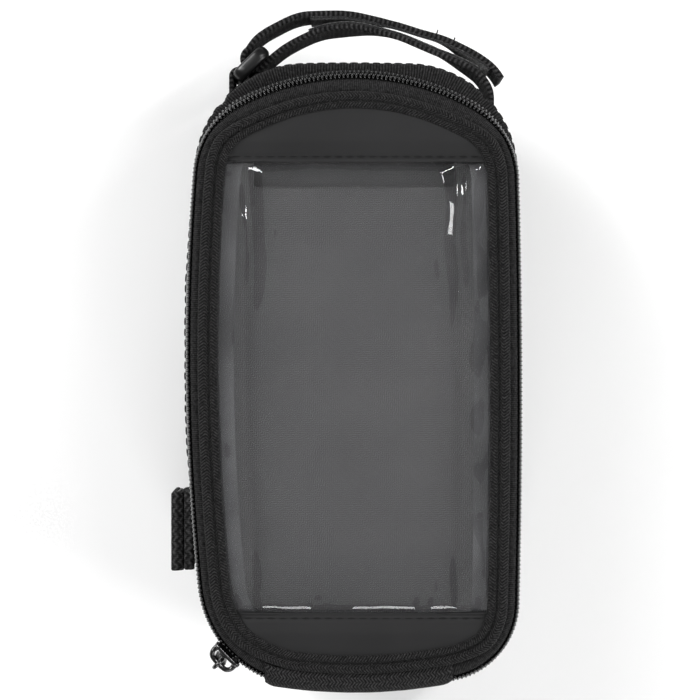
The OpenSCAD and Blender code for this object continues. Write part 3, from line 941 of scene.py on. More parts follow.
def sheet_of(rows, flip=False):
    """A sheet from rows of points that run across the bag; its cloth runs straight along the bag."""
    build = Build()
    n = len(rows[0])
    for row in rows:
        build.verts.extend(row)
    for j in range(len(rows) - 1):
        for i in range(n - 1):
            quad = [j * n + i, j * n + i + 1, (j + 1) * n + i + 1, (j + 1) * n + i]
            if flip:
                quad.reverse()
            build.faces.append(quad)
            build.uvs.append([tuple(build.verts[q][:2]) for q in quad])
    return build


def spread(edge, height, columns=72, pitch=1.5, flip=False):
    """Fills an outline with a sheet; height gives z from x, y and the way in from the outline."""
    left, right = sides_of(edge)
    low, high = right[0, 1] + 0.15, right[-1, 1] - 0.15
    ys = low + (high - low) * crowded(int((high - low) / pitch))
    xl, xr = np.interp(ys, left[:, 1], left[:, 0]), np.interp(ys, right[:, 1], right[:, 0])
    x = xl[:, None] + (xr - xl)[:, None] * crowded(columns)[None, :]
    y = np.repeat(ys[:, None], columns, axis=1)
    fence, _ = evenly(at_height(np.asarray(edge)[:, :2], 0), 0.5, close=True)
    depth = np.array([
        np.sqrt(np.min((fence[None, :, 0] - xs[:, None]) ** 2 + (fence[None, :, 1] - y0) ** 2, axis=1))
        for xs, y0 in zip(x, ys)
    ])
    z = height(x.ravel(), y.ravel(), depth.ravel())
    points = np.column_stack([x.ravel(), y.ravel(), z])
    return sheet_of(points.reshape(len(ys), columns, 3).tolist(), flip)


def unevenness(x, y, size, seed, along=1.0):
    """Soft waves over flat places; along below 1 stretches them along the bag."""
    return ripples(at_height(np.column_stack([x, y * along]), seed), size, seed)


def make_base():
    """The cloth under the bag, and the lining on its floor."""

    def sagging(x, y, d):
        return BASE_Z + 0.12 * unevenness(x, y, 25, 1.0)

    skin = spread(wall_row(BASE_Z), sagging, 40, 3.0, flip=True)
    skin = skin.piece("base_skin", SHELL, "tub", "shell_fabric")
    thicken(skin, CLOTH_T)
    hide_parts("base_panel")
    make_pad()
    # The floor lining lies over the foam and board, a little loose, and turns up at the walls.
    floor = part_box("floor_lining")[1].z / MM

    def loose(x, y, d):
        turned_up = 2.0 * (1 - smooth(d, 0, 2.5))
        return floor + 0.45 + turned_up + 0.5 * unevenness(x, y, 16, 2.0, 0.7) ** 2

    lining = spread(around_body(5.0, floor), loose).piece("floor_cloth", WALL_LINING, "tub", "lining_fabric")
    thicken(lining, 0.4)
    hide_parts("floor_lining")


def turn_faces(piece, towards):
    """Turns an open sheet so that its faces look towards a direction."""
    mesh = piece.data
    total = sum((p.normal * p.area for p in mesh.polygons), Vector())
    if total.dot(Vector(towards)) < 0:
        mesh.flip_normals()


def rounded_loop(w, l, r, inset, cuts):
    """A rectangle with round corners that reaches w and l from its middle, before the inset."""
    corners = ((w - r, r - l, -90), (w - r, l - r, 0), (r - w, l - r, 90), (r - w, r - l, 180))
    return np.vstack([arc_points((x, y), r - inset, a, a + 90, cuts) for x, y, a in corners])


def make_pad():
    """The rubbery pad, with its edges rolled under and sewn."""
    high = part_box("base_pad")[1]
    w, l, top = high.x / MM, high.y / MM, high.z / MM

    def outline(inset, z):
        return at_height(rounded_loop(w, l, 12, inset, 10), z)

    sides = [(0.4, top - 0.1), (0.0, top - 0.9), (0.0, 1.6), (0.25, 0.7), (0.9, 0.15), (1.8, 0.0)]
    rows = [outline(inset, z) for inset, z in sides]
    build = spread(rows[-1], lambda x, y, d: 0.0 * x, 40, 3.0, flip=True)
    u, wrap = lengths_round(rows[0][:, :2])
    build.grid(rows[::-1], u, cumulative(rows), close=True, wrap=wrap, flip=True)
    pad = build.piece("grip_pad", GRIP, "tub", "grip_pad")
    close_up(pad)
    turn_faces(pad, (0, 0, -1))
    thicken(pad, 1.0)
    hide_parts("base_pad")
    seams.sew("tub", outline(3.0, 0.22), (0, 0, -1), close=True)


def make_lining():
    """The lining of the walls, which hangs in loose folds."""
    heights = [81.0, 80.2, 78] + list(np.linspace(74, 14, 26)) + [12.6]
    rows = []
    for z in heights:
        points = at_height(BODY_PTS, z)
        fold = 0.55 * np.abs(ripples(points * [1, 1, 0.5], 17, 5.0)) + 0.25 * np.abs(ripples(points, 7, 9.0))
        loose = min(1, max(0, (80 - z) / 8))
        rows.append(around_body(4.75 + fold * loose, z))
    build = Build()
    build.grid(rows, BODY_RUN, heights, close=True, wrap=BODY_ROUND)
    cloth_piece = build.piece("wall_cloth", WALL_LINING, "tub", "lining_fabric")
    thicken(cloth_piece, 0.35)
    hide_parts("wall_lining")


def make_rim():
    """The edge tape that covers the tops of the wall cloth, foam and lining."""
    section = [(-0.45, 76.4), (-0.55, 78.6), (-0.4, 80.2), (0.3, 81.1), (1.4, 81.45), (3.6, 81.4),
               (4.8, 81.0), (5.35, 80.0), (5.4, 77.4), (4.9, 77.2), (4.6, 79.6), (3.0, 80.4), (1.0, 80.2),
               (0.3, 78.6), (0.1, 76.5)]
    top = wall_inset(78.6)
    rows = []
    for inset, z in section:
        follow = smooth(2.0 - inset, 0, 2.0)
        rows.append(around_body(inset + top * follow, z))
    rim = tube_round("rim_tape", rows, BINDING, "tub", "shell_fabric")
    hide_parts("rim_binding")
    seams.sew("tub", around_body(-0.62 + top, 77.4), BODY_OUT_3D, close=True)


def make_reflective():
    """The silver strips that are sewn along the left and the right wall."""
    low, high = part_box("reflective_left")
    z0, z1 = low.z / MM, high.z / MM
    for side, node in ((-1, "reflective_left"), (1, "reflective_right")):
        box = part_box(node)
        y0, y1 = box[0].y / MM, box[1].y / MM
        on_side = (np.sign(BODY_PTS[:, 0]) == side) & (BODY_PTS[:, 1] > y0) & (BODY_PTS[:, 1] < y1)
        picked = np.where(on_side)[0]
        if side > 0:
            # The walk starts in the middle of the right side, so the strip's rear part comes first.
            middle = len(WALK) / 2
            picked = np.concatenate([picked[picked > middle], picked[picked <= middle]])
        heights = list(np.linspace(z0, z1, 6))
        rows = [wall_row(z, -0.32)[picked] for z in heights]
        build = Build()
        build.grid(rows, unrolled(picked, BODY_RUN, BODY_ROUND), heights)
        strip = build.piece(node + "_strip", REFLECTIVE, "tub", "reflective_tape")
        thicken(strip, 0.3)
        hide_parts(node)
        for z in (z0 + 0.9, z1 - 0.9):
            seams.sew("tub", wall_row(z, -0.34)[picked], BODY_OUT_3D[picked])


# ---------------------------------------------------------------- zipper

ZIP_FRONT = smooth(ZIP_OUT[:, 1], 0.45, 0.97)
ZIP_REAR = smooth(-ZIP_OUT[:, 1], 0.6, 0.98)
ZIP_RUN, ZIP_ROUND = lengths_round(ZIP_PTS)
TILT = np.radians(8 + 26 * ZIP_FRONT + 6 * ZIP_REAR)
OUT_3D = np.column_stack([ZIP_OUT, np.zeros(len(ZIP_OUT))])
UP_3D = np.array([0.0, 0.0, 1.0])
# The band of the zipper leans in towards the top, most at the front.
BAND_UP = -OUT_3D * np.sin(TILT)[:, None] + UP_3D * np.cos(TILT)[:, None]
BAND_OUT = OUT_3D * np.cos(TILT)[:, None] + UP_3D * np.sin(TILT)[:, None]
BAND = around(0.75, ZIP_Z)
PIPING_INSET = 3.7 + 2.5 * ZIP_FRONT + 1.7 * ZIP_REAR
PIPING_WIDE = 6.2 - 0.9 * ZIP_FRONT - 0.5 * ZIP_REAR
HINGE_LOW, HINGE_HIGH = (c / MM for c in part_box("hinge_strip_body"))
# The zipper's ends run a little way in under the hinge strip.
ZIP_START = find_step(ZIP_LINE, lambda p: p[1] < -60 and p[0] > HINGE_HIGH.x - 3)
ZIP_END = find_step(ZIP_LINE, lambda p: p[1] < -60 and p[0] > HINGE_LOW.x + 3)
ZIP_OPEN = stretch(ZIP_START, ZIP_END)


def band_row(up, out=0.0):
    """Points of the zipper's band, up and out from the middle of the closed chain."""
    return BAND + BAND_UP * up + BAND_OUT * out


def make_tapes():
    """The lower and the upper zipper tape, from the chain to the cloth they are sewn to."""
    run = unrolled(ZIP_OPEN, ZIP_RUN, ZIP_ROUND)
    foot = around(1.9 - 2.1 * ZIP_FRONT, 81.0)
    lower = [foot, band_row(-3.6, -0.3), band_row(-2.4, -0.35), band_row(-0.45, -0.35)]
    shoulder = around(PIPING_INSET + 0.4, 91.1)
    bend = (band_row(3.6, -0.2) * 0.6 + shoulder * 0.4) + UP_3D * 0.3
    upper = [band_row(0.45, -0.35), band_row(2.4, -0.35), band_row(3.4, -0.25), bend, shoulder]
    for name, rows, node, body in (
        ("lower_tape", lower, "zip_tape_lower", "tub"),
        ("upper_tape", upper, "zip_tape_upper", "lid"),
    ):
        build = Build()
        picked = [r[ZIP_OPEN] for r in rows]
        build.grid(picked, run, cumulative(picked))
        tape = build.piece(name, ZIP_TAPE, body, "zip_tape")
        thicken(tape, 0.45)
        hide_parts(node)


TOOTH_PITCH = 1.32
# A tooth's length across the chain, its width along it, and its thickness.
TOOTH = (3.0, 0.98, 1.5)


def make_teeth():
    """Two rows of coil turns, half a pitch apart."""
    run = unrolled(ZIP_OPEN, ZIP_RUN, ZIP_ROUND)
    for name, node, body, side, shift in (
        ("lower_teeth", "zip_teeth_lower", "tub", -1, 0.0),
        ("upper_teeth", "zip_teeth_upper", "lid", 1, 0.5),
    ):
        places = np.arange(run[0] + (0.4 + shift) * TOOTH_PITCH, run[-1] - 0.4, TOOTH_PITCH)

        def field(values):
            return np.column_stack([np.interp(places, run, values[ZIP_OPEN][:, k]) for k in range(3)])

        up, out = field(BAND_UP), field(BAND_OUT)
        spots = field(BAND) + up * side * 1.05 + out * 0.25
        teeth = bead_row(name, spots, up, out, TOOTH, TEETH, body, 7, 0.01, 4)
        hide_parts(node)


# ---------------------------------------------------------------- lid


def make_piping():
    """A folded binding with two soft rolls and a stitched valley between them."""
    section = [(0.06, 90.6), (0.0, 91.4), (-0.01, 92.6), (0.08, 93.6), (0.25, 94.1), (0.4, 93.8),
               (0.49, 92.9), (0.57, 92.9), (0.66, 93.8), (0.8, 94.0), (0.94, 93.5), (1.0, 92.6),
               (0.98, 91.6), (0.88, 90.8), (0.5, 90.5)]
    uneven = 0.16 * ripples(at_height(ZIP_PTS, DECK_Z), 9, 2.0)
    rows = []
    for part, z in section:
        rows.append(around(PIPING_INSET + PIPING_WIDE * part, z + uneven * (z > 92)))
    roll = tube_round("lid_binding", rows, PIPING, "lid", "piping_fabric")
    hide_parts("lid_piping")
    seams.sew("lid", around(PIPING_INSET + PIPING_WIDE * 0.53, 92.85), (0, 0, 1), pitch=3.2, close=True)


LID_EDGE = around(PIPING_INSET + PIPING_WIDE * 0.75, 0)


def lid_half_width(y, side):
    """How far the lid's cloth reaches from the middle, to one side, at y."""
    edge = LID_EDGE[(np.sign(LID_EDGE[:, 0]) == side) & (np.abs(LID_EDGE[:, 1]) < 78)]
    edge = edge[np.argsort(edge[:, 1])]
    return np.interp(y, edge[:, 1], edge[:, 0])


WINDOW_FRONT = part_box("window")[1].y / MM
WINDOW_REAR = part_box("window")[0].y / MM
FILM_Z = DECK_Z + 0.75
PHONE_EDGE = 31.5


def film_height(x, y):
    """The film's height: slightly crowned, creased along a phone's edges and puckered at its ends."""
    gap = np.minimum(lid_half_width(y, 1) - x, x - lid_half_width(y, -1))
    z = FILM_Z + 1.0 * smooth(gap, 0.0, 10.0)
    z += 0.62 * unevenness(x, y, 15, 2.0, 0.45) + 0.3 * unevenness(x, y, 6.5, 7.0, 0.6)
    z += 0.55 * smooth(np.abs(y), 24, 56) * unevenness(x, y, 10, 12.0, 0.7)
    fade = smooth(y, 8, 34) + 0.45 * smooth(-y, 35, 60)
    for crease in (-PHONE_EDGE, PHONE_EDGE):
        wander = crease + 1.6 * unevenness(0 * x, y, 18, crease)
        z -= 1.0 * fade * np.exp(-(((x - wander) / 2.6) ** 2))
        z += 0.45 * fade * np.exp(-(((x - wander * 0.86) / 3.0) ** 2))
    from_rear, from_front = y - WINDOW_REAR, WINDOW_FRONT - y
    near_end = np.exp(-(((from_rear - 2.5) / 3.0) ** 2)) + 0.6 * np.exp(-(((from_front - 2.5) / 3.0) ** 2))
    z += 0.5 * near_end * unevenness(x, 0.4 * y, 3.6, 5.0)
    # Its ends go down under the covers that are sewn over them.
    held = 1 - smooth(np.minimum(from_rear, from_front), 0.0, 2.2)
    return z * (1 - held) + FILM_Z * held


def make_film():
    """The clear window, whose ends go in under the two covers."""
    ys = np.linspace(WINDOW_REAR - 3.5, WINDOW_FRONT + 3.5, 170)
    left, right = lid_half_width(ys, -1), lid_half_width(ys, 1)
    x = left[:, None] + (right - left)[:, None] * np.linspace(0, 1, 100)[None, :]
    y = np.repeat(ys[:, None], 100, axis=1)
    z = film_height(x.ravel(), y.ravel()).reshape(x.shape)
    film = sheet_of(np.dstack([x, y, z]).tolist()).piece("window_film", FILM, "lid", "clear_film")
    thicken(film, 0.3)
    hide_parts("window")


def patch_rows(front, straight):
    """Rows of an end cover, from its straight edge out to the lid's end."""
    edge = around(PIPING_INSET + PIPING_WIDE * 0.8, 0)
    picked = np.where(edge[:, 1] > straight + 0.3 if front else edge[:, 1] < straight - 0.3)[0]
    curve = edge[picked][:, :2]
    run = run_along(curve)
    ends = curve[0, 0], curve[-1, 0]
    line = np.column_stack([np.interp(run / run[-1], [0, 1], ends), np.full(len(run), straight)])
    steps = np.concatenate([np.linspace(0, 0.18, 9)[:-1], np.linspace(0.18, 1, 16)])
    return [line + (curve - line) * k for k in steps]


def make_patch(name, front, node):
    """A coated cover over one end of the film, with a turned edge and a sewn groove."""
    straight = WINDOW_FRONT if front else WINDOW_REAR
    toward = 1 if front else -1
    rows = []
    for k, row in enumerate(patch_rows(front, straight)):
        points = []
        for x, y in row:
            depth = abs(y - straight)
            puff = 0.5 * float(smooth(depth, 2.4, 7.0)) - 0.4 * math.exp(-(((depth - 1.8) / 0.55) ** 2))
            z = DECK_Z + 2.05 + puff + 0.16 * ripple(x, y, 0, 22, 4.0)
            points.append((x, y, z))
        if k == 0:
            rows.append([(x, y, z - 0.55) for x, y, z in points])
            rows.append([(x, y - toward * 0.05, z - 0.2) for x, y, z in points])
            points = [(x, y + toward * 0.25, z) for x, y, z in points]
        rows.append(points)
    patch = sheet_of(rows).piece(name, COATED, "lid", "coated_fabric")
    close_up(patch, 1e-7)
    turn_faces(patch, (0, 0, 1))
    thicken(patch, 0.45)
    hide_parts(node)
    y = straight + toward * 1.8
    left, right = lid_half_width(y, -1) + 0.5, lid_half_width(y, 1) - 0.5
    path = [(x, y, DECK_Z + 1.62) for x in np.linspace(left, right, 60)]
    seams.sew("lid", path, (0, 0, 1), pitch=3.5)


def cut_window(piece, x0, x1, y0, y1):
    """Cuts a rectangular hole through a sheet."""
    edit = bmesh.new()
    edit.from_mesh(piece.data)
    for x, y in ((x0, 0), (x1, 0), (0, y0), (0, y1)):
        parts = edit.verts[:] + edit.edges[:] + edit.faces[:]
        across = (1, 0, 0) if x else (0, 1, 0)
        bmesh.ops.bisect_plane(edit, geom=parts, plane_co=Vector((x, y, 0)) * MM, plane_no=across, dist=1e-7)
    middles = [(face, face.calc_center_median() / MM) for face in edit.faces]
    inside = [face for face, middle in middles if x0 < middle.x < x1 and y0 < middle.y < y1]
    bmesh.ops.delete(edit, geom=inside, context="FACES")
    edit.to_mesh(piece.data)
    edit.free()


# The slot that the phone goes in through: its sides, and its rear and front edge.
SLOT = (-30.5, 30.5, 59.0, 69.0)
POCKET_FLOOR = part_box("pocket_back")[0].z / MM + 0.8
# The underside of the lid outside the pocket.
LID_UNDER = 87.4


def make_pocket():
    """The pocket's back: a thin twill tray under the film, open at the slot."""

    def tray(x, y, d):
        """From the lid's edge down to the floor of the pocket, with soft folds."""
        fold = 0.8 * np.abs(unevenness(x + 0.6 * y, y - 0.6 * x, 19, 6.0, 0.5))
        fold += 0.35 * unevenness(x, y, 8, 1.0) ** 2
        slope = smooth(d, 1.5, 11.0)
        rise = (DECK_Z - POCKET_FLOOR) * (1 - slope)
        return POCKET_FLOOR + 0.2 + fold * slope + rise + 0.25 * unevenness(x, y, 5, 3.0) * (1 - slope)

    twill = spread(around(PIPING_INSET + PIPING_WIDE * 0.7 - 0.6, 0), tray, 96, 1.2)
    twill = twill.piece("pocket_twill", LINING, "lid", "lining_fabric")
    cut_window(twill, *SLOT)
    thicken(twill, 0.3)
    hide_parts("pocket_back")


def make_lid_lining():
    """The underside of the lid: lining over the foam frame and round the pocket."""
    under = POCKET_FLOOR - 0.75

    def underside(x, y, d):
        turned_up = 2.8 * (1 - smooth(d, 0, 0.9))
        sunk = smooth(d, 8.9, 10.4)
        slack = 0.3 * sunk * np.abs(unevenness(x, y, 20, 3.0, 0.6))
        return LID_UNDER + turned_up - (LID_UNDER - under) * sunk - slack

    lining = spread(around(PIPING_INSET + 0.6, 0), underside, 110, 1.2, flip=True)
    lining = lining.piece("lid_cloth", WALL_LINING, "lid", "lining_fabric")
    cut_window(lining, *SLOT)
    thicken(lining, 0.3)
    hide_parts("lid_lining")


def make_flap():
    """The flap that closes the pocket, its hem, and the hook and loop tapes."""
    rounded_box("flap_hem_tape", "flap_hem", 0.4, BINDING, "lid")
    rounded_box("pocket_loops", "pocket_loop_tape", 0.2, FUZZY, "lid")
    rounded_box("flap_hooks", "flap_hook_tape", 0.2, FUZZY, "flap")
    rounded_box("base_hooks", "base_hook_tape", 0.2, FUZZY, "tub")
    flap = rounded_box("flap_cloth", "pocket_flap", 0.45, WALL_LINING, "flap")
    a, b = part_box("pocket_flap")
    x0, x1, y0, y1 = a.x / MM + 2, b.x / MM - 2, a.y / MM + 1, b.y / MM - 2
    # Stitches up one side, across the free edge and down the other side.
    path = [(x0, y0)] + [(x0, y) for y in np.linspace(y0, y1, 12)]
    path += [(x, y1) for x in np.linspace(x0, x1, 20)]
    path += [(x1, y) for y in np.linspace(y1, y0, 12)]
    seams.sew("flap", at_height(path, a.z / MM - 0.05), (0, 0, -1), pitch=3.0)


def make_hinge_strip():
    """One piece of woven cloth from the rear wall over to the lid."""
    x0, x1 = HINGE_LOW.x, HINGE_HIGH.x
    section = spline([(-94.6, 73), (-94.9, 79), (-95.1, 84), (-95.3, 87.5), (-95.0, 89.8), (-93.8, 91.3),
                      (-91.6, 91.9), (-88.9, 91.9)], 5)
    xs = np.linspace(x0, x1, 44)
    rows = []
    for y, z in section:
        ends = np.maximum(0, np.abs(xs - (x0 + x1) / 2) - (x1 - x0) / 2 + 3.0) / 3.0
        bow = xs**2 / (2 * REAR_R) + 0.9 * ends**2
        wave = np.array([0.15 * ripple(x, z, 0, 9) for x in xs])
        rows.append(np.column_stack([xs, y + bow + wave, np.full(len(xs), z) - 0.35 * ends**2]))
    build = Build()
    build.grid(rows, xs, cumulative(rows))
    strip = build.piece("hinge_strip", HINGE_CLOTH, None, "shell_fabric")
    turn_faces(strip, (0, -1, 0.4))
    thicken(strip, 1.0)
    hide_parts("hinge_strip_body", "hinge_strip_lid")
    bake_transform(strip)
    path = [(x, -94.95 + x**2 / (2 * REAR_R), 75.5) for x in np.linspace(x0 + 1.5, x1 - 1.5, 30)]
    seams.sew("tub", path, (0, -1, 0), pitch=3.0)


# ---------------------------------------------------------------- straps

# Webbing, and the tape sewn on it.
WEB_W = 25
WEB_T = 1.5
LOOSE_T = 0.9
# The height of the head strap's middle, the bars of its ring, and its fold round the far bar.
HEAD_Z = 60
RING_NEAR = np.array([-35.6, 93.4])
RING_FAR = np.array([-27.9, 100.9])
FOLD_C = np.array([-30.9, 98.9])
FOLD_R = 3.4
FOLD_A = 303.4
HEAD_BAR_R = 1.4
BASE_BAR_R = 1.2
BAR_GAP = 0.1


def on_circle(centre, r, angle):
    """The point of a circle at an angle in degrees."""
    a = math.radians(angle)
    return np.asarray(centre, float) + r * np.array([math.cos(a), math.sin(a)])


def sideways(path):
    """The leftward direction of a flat path at each point."""
    along = unit(np.gradient(np.asarray(path, float), axis=0))
    return np.column_stack([-along[:, 1], along[:, 0]])


def standing(flat, seed):
    """Gives a path its height, with the strap's edges waving a little where no ring holds them."""
    free = smooth(np.linalg.norm(flat - FOLD_C, axis=1), 8, 20)
    wave = [0.8 * ripple(x, y, 0, 13, seed) + 0.25 * ripple(x, y, 5, 3.2, seed) for x, y in flat]
    return np.column_stack([flat, HEAD_Z + free * np.array(wave)])


def leaning(flat, seed, outwards):
    """Between the ring and the tail the strap's upper edge leans in a little."""
    x = flat[:, 0]
    lean = -0.085 * smooth(x, -4, 12) * (1 - smooth(x, 24, 38))
    lean += 0.03 * smooth(x, -16, -8) * np.array([ripple(*point, 0, 17, seed) for point in flat])
    return np.column_stack([sideways(flat) * (outwards * lean)[:, None], np.ones(len(flat))])


def make_head_strap():
    """The strap from the right wall to its ring and back over itself, with a tape on each run."""
    inner = spline([(42.2, 82.5), (42.2, 88), (41, 91.4), (38.4, 94.6), (34.4, 97.3), (28.6, 100.5),
                    (21, 103.9), (13.4, 106.9), (5.5, 108.6), (-1.8, 108.9), (-9.5, 107.9), (-16, 105.4),
                    (-22.4, 101.7), on_circle(FOLD_C, FOLD_R, FOLD_A)], 10)
    fold = arc_points(FOLD_C, FOLD_R, FOLD_A, FOLD_A - 180, 16)
    outer = spline([on_circle(FOLD_C, FOLD_R, FOLD_A - 180), (-29.9, 105.4), (-24.9, 108.7),
                    (-16.5, 112.3), (-6, 112.9), (5.5, 112.2), (13, 110.8), (20.4, 108.5), (27.9, 106.1),
                    (34.9, 102.1), (40.2, 98.7), (43.4, 95.9), (45.6, 92.8)], 10)
    path = np.vstack([inner, fold[1:-1], outer])
    heading_out = np.concatenate([np.full(len(inner), -1.0), np.ones(len(path) - len(inner))])
    lean = leaning(path, 4.0, heading_out)
    strap = ribbon("head_webbing", standing(path, 1.0), lean, (WEB_W, WEB_T + 0.3), WEBBING, "webbing")
    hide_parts("head_strap")
    offset = -WEB_T / 2 - LOOSE_T / 2
    for name, flat, node, high, outwards in (
        ("head_loops", inner, "head_loop_tape", 38, -1.0),
        ("head_hooks", outer, "head_hook_tape", 43, 1.0),
    ):
        layer = flat + sideways(flat) * offset
        layer = layer[(flat[:, 0] > -14) & (flat[:, 0] < high)]
        lean = leaning(layer, 4.0, outwards)
        tape = ribbon(name, standing(layer, 1.0), lean, (WEB_W - 1, LOOSE_T), FUZZY, "hook_and_loop")
        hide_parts(node)
    # Two rows of stitches where the strap's end is sewn back.
    for x_at in (30.5, 26.0):
        i = int(np.argmin(np.abs(outer[:, 0] - x_at)))
        out = np.append(sideways(outer)[i], 0)
        spot = np.append(outer[i], 0) + out * (WEB_T / 2 + 0.02)
        column = [spot + np.array([0, 0, z]) for z in np.linspace(HEAD_Z - 11, HEAD_Z + 11, 12)]
        seams.sew("tub", column, out, pitch=3.0)


def make_ring_anchor():
    """The short webbing loop that holds the head ring to the front wall."""
    loop_r = HEAD_BAR_R + BAR_GAP + WEB_T / 2
    loop = arc_points(RING_NEAR, loop_r, 180, 0, 20)
    start, end = RING_NEAR - (loop_r, 9), RING_NEAR + (loop_r, -7)
    flat = np.vstack([np.linspace(start, loop[0], 5)[:-1], loop, np.linspace(loop[-1], end, 5)[1:]])
    anchor = ribbon("ring_anchor", at_height(flat, HEAD_Z), (0, 0, 1), (WEB_W, WEB_T), WEBBING, "webbing")
    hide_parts("head_ring_anchor")


def softened(v, power):
    """A sine or cosine pushed outwards, so that a round section gets flatter sides."""
    return math.copysign(abs(v) ** power, v)


def make_head_ring():
    """A moulded rectangular ring: round bars for the webbing, joined by thicker rails."""
    middle = (RING_NEAR + RING_FAR) / 2
    ahead = RING_FAR - RING_NEAR
    half = np.linalg.norm(ahead) / 2
    ahead = np.append(ahead / np.linalg.norm(ahead), 0)
    side = np.array([-ahead[1], ahead[0], 0])
    tall = (WEB_W + 0.6) / 2 + HEAD_BAR_R
    loop = evenly(at_height(rounded_loop(half, tall, 2.2, 0, 8), 0), 0.9, close=True)[0][:, :2]
    out = np.gradient(np.vstack([loop[-1:], loop, loop[:1]]), axis=0)[1:-1]
    out = unit(np.column_stack([out[:, 1], -out[:, 0]]))
    rail = smooth(np.abs(loop[:, 1]), tall - 3.4, tall - 0.8)
    rows = []
    cuts = 16
    for k in range(cuts):
        a = 2 * math.pi * k / cuts
        flat = loop + out * (softened(math.cos(a), 0.8) * 1.35)
        wide = softened(math.sin(a), 0.8) * (1.35 + 0.85 * rail)
        upright = flat[:, :1] * ahead + flat[:, 1:] * UP_3D
        rows.append(np.append(middle, HEAD_Z) + upright + wide[:, None] * side)
    build = Build()
    u, wrap = lengths_round(loop)
    rows.append(rows[0])
    build.grid(rows, u, list(np.linspace(0, 8.5, cuts + 1)), close=True, wrap=wrap)
    ring = build.piece("head_loop_ring", RING_PLASTIC, "head_ring", "moulded_ring")
    close_up(ring)
    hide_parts("head_ring")


def make_base_strap():
    """The base strap: sewn round its ring, through the pad, up the left wall and folded on itself."""
    strap_y = (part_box("base_strap")[0].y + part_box("base_strap")[1].y) / 2 / MM
    bar_z = BASE_Z / 2
    loop_r = BASE_BAR_R + BAR_GAP + WEB_T / 2
    tunnel = BASE_Z - WEB_T / 2 - 0.05
    ply_x = -BODY_HALF_W - 0.1 - WEB_T / 2
    ply = WEB_T + 0.3
    top, low = 44, 12
    wide_turn = ply / 2 + LOOSE_T / 2
    parts = [
        [(31.5, bar_z - loop_r)],
        arc_points((36, bar_z), loop_r, -90, 90, 14),
        [(30, tunnel), (0, tunnel), (-30, tunnel)],
        arc_points((0.1 - BODY_HALF_W, BASE_Z + 0.15), BASE_Z + 0.15 - tunnel, 270, 180, 8),
        [(ply_x - 1.2, 14), (ply_x - 1.3, 28)],
        arc_points((ply_x - ply / 2 - 0.2, top), ply / 2, 0, 180, 8),
        [(ply_x - ply - 0.5, 28)],
        arc_points((ply_x - 1.5 * ply, low), ply / 2, 360, 180, 8),
        [(ply_x - 2 * ply - 0.3, 28)],
        arc_points((ply_x - 2 * ply - wide_turn, top - 2), wide_turn, 0, 180, 10),
        [(ply_x - 2 * ply - 2 * wide_turn, 26), (ply_x - 2 * ply - 2 * wide_turn, 15)],
    ]
    flat = np.vstack([np.asarray(p, float) for p in parts])
    keep = np.concatenate([[True], np.linalg.norm(np.diff(flat, axis=0), axis=1) > 1e-3])
    flat = flat[keep]
    fine = [flat[0]]
    for a, b in zip(flat, flat[1:]):
        cuts = max(1, int(np.linalg.norm(b - a) / 3))
        fine.extend(a + (b - a) * k / cuts for k in range(1, cuts + 1))
    flat = np.array(fine)
    # The plies are folded by hand, so each lies a little askew.
    skew = [0.9 * ripple(x * 2, 0, z * 0.3, 11, 3.0) if x < -BODY_HALF_W else 0.0 for x, z in flat]
    path = np.column_stack([flat[:, 0], strap_y + np.array(skew), flat[:, 1]])
    strap = ribbon("base_webbing", path, (0, 1, 0), (WEB_W, WEB_T), WEBBING, "webbing")
    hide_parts("base_strap")


# ---------------------------------------------------------------- slider

# Where the slider waits on the rear left corner of the zipper.
SLIDER_ANGLE = 224


def at_corner(n, s, z):
    """A point n outside the teeth, s along the corner from the slider's middle, z above the chain."""
    r = REAR_LEFT_R + n
    a = math.radians(SLIDER_ANGLE) + s / r
    x, y = ZIP_LINE.rear_left
    return (x + r * math.cos(a), y + r * math.sin(a), ZIP_Z + z)


def pebble(build, middle, half, power, up_cuts=16):
    """A rounded block, its middle as at_corner takes it; a small power makes it squarer."""
    cuts = 28
    rows = []
    for j in range(up_cuts + 1):
        b = -math.pi / 2 + math.pi * j / up_cuts
        row = []
        for i in range(cuts):
            a = 2 * math.pi * i / cuts
            waves = (math.cos(a), math.sin(a), math.cos(b), math.sin(b))
            ca, sa, cb, sb = (softened(wave, power) for wave in waves)
            n, s = middle[0] + half[0] * ca * cb, middle[1] + half[1] * sa * cb
            row.append(at_corner(n, s, middle[2] + half[2] * sb))
        rows.append(row)
    build.grid(rows, list(range(cuts)), list(range(up_cuts + 1)), close=True, wrap=cuts)


def swept(build, path, radius, close=False):
    """A round rod along points given as at_corner takes them."""
    cuts = 12
    path = np.asarray(path, float)
    along = np.gradient(path, axis=0)
    if close:
        along = np.gradient(np.vstack([path[-1:], path, path[:1]]), axis=0)[1:-1]
    along = unit(along)
    level = abs(along[0][2]) < 0.9 and np.ptp(path[:, 2]) < 1e-6
    side = unit(np.cross(along, (0, 0, 1.0) if level else (0, 1.0, 0)))
    up = np.cross(side, along)
    rows = []
    for k in range(cuts + 1):
        a = 2 * math.pi * k / cuts
        ring = path + side * math.cos(a) * radius + up * math.sin(a) * radius
        if close:
            ring = np.vstack([ring, ring[:1]])
        rows.append([at_corner(*p) for p in ring])
    build.grid(rows, list(range(len(rows[0]))), list(range(cuts + 1)))


# How far out the axis lies that the pull turns on, and the pull's eye round it.
AXIS_OUT = 4.6
EYE_R = 1.72
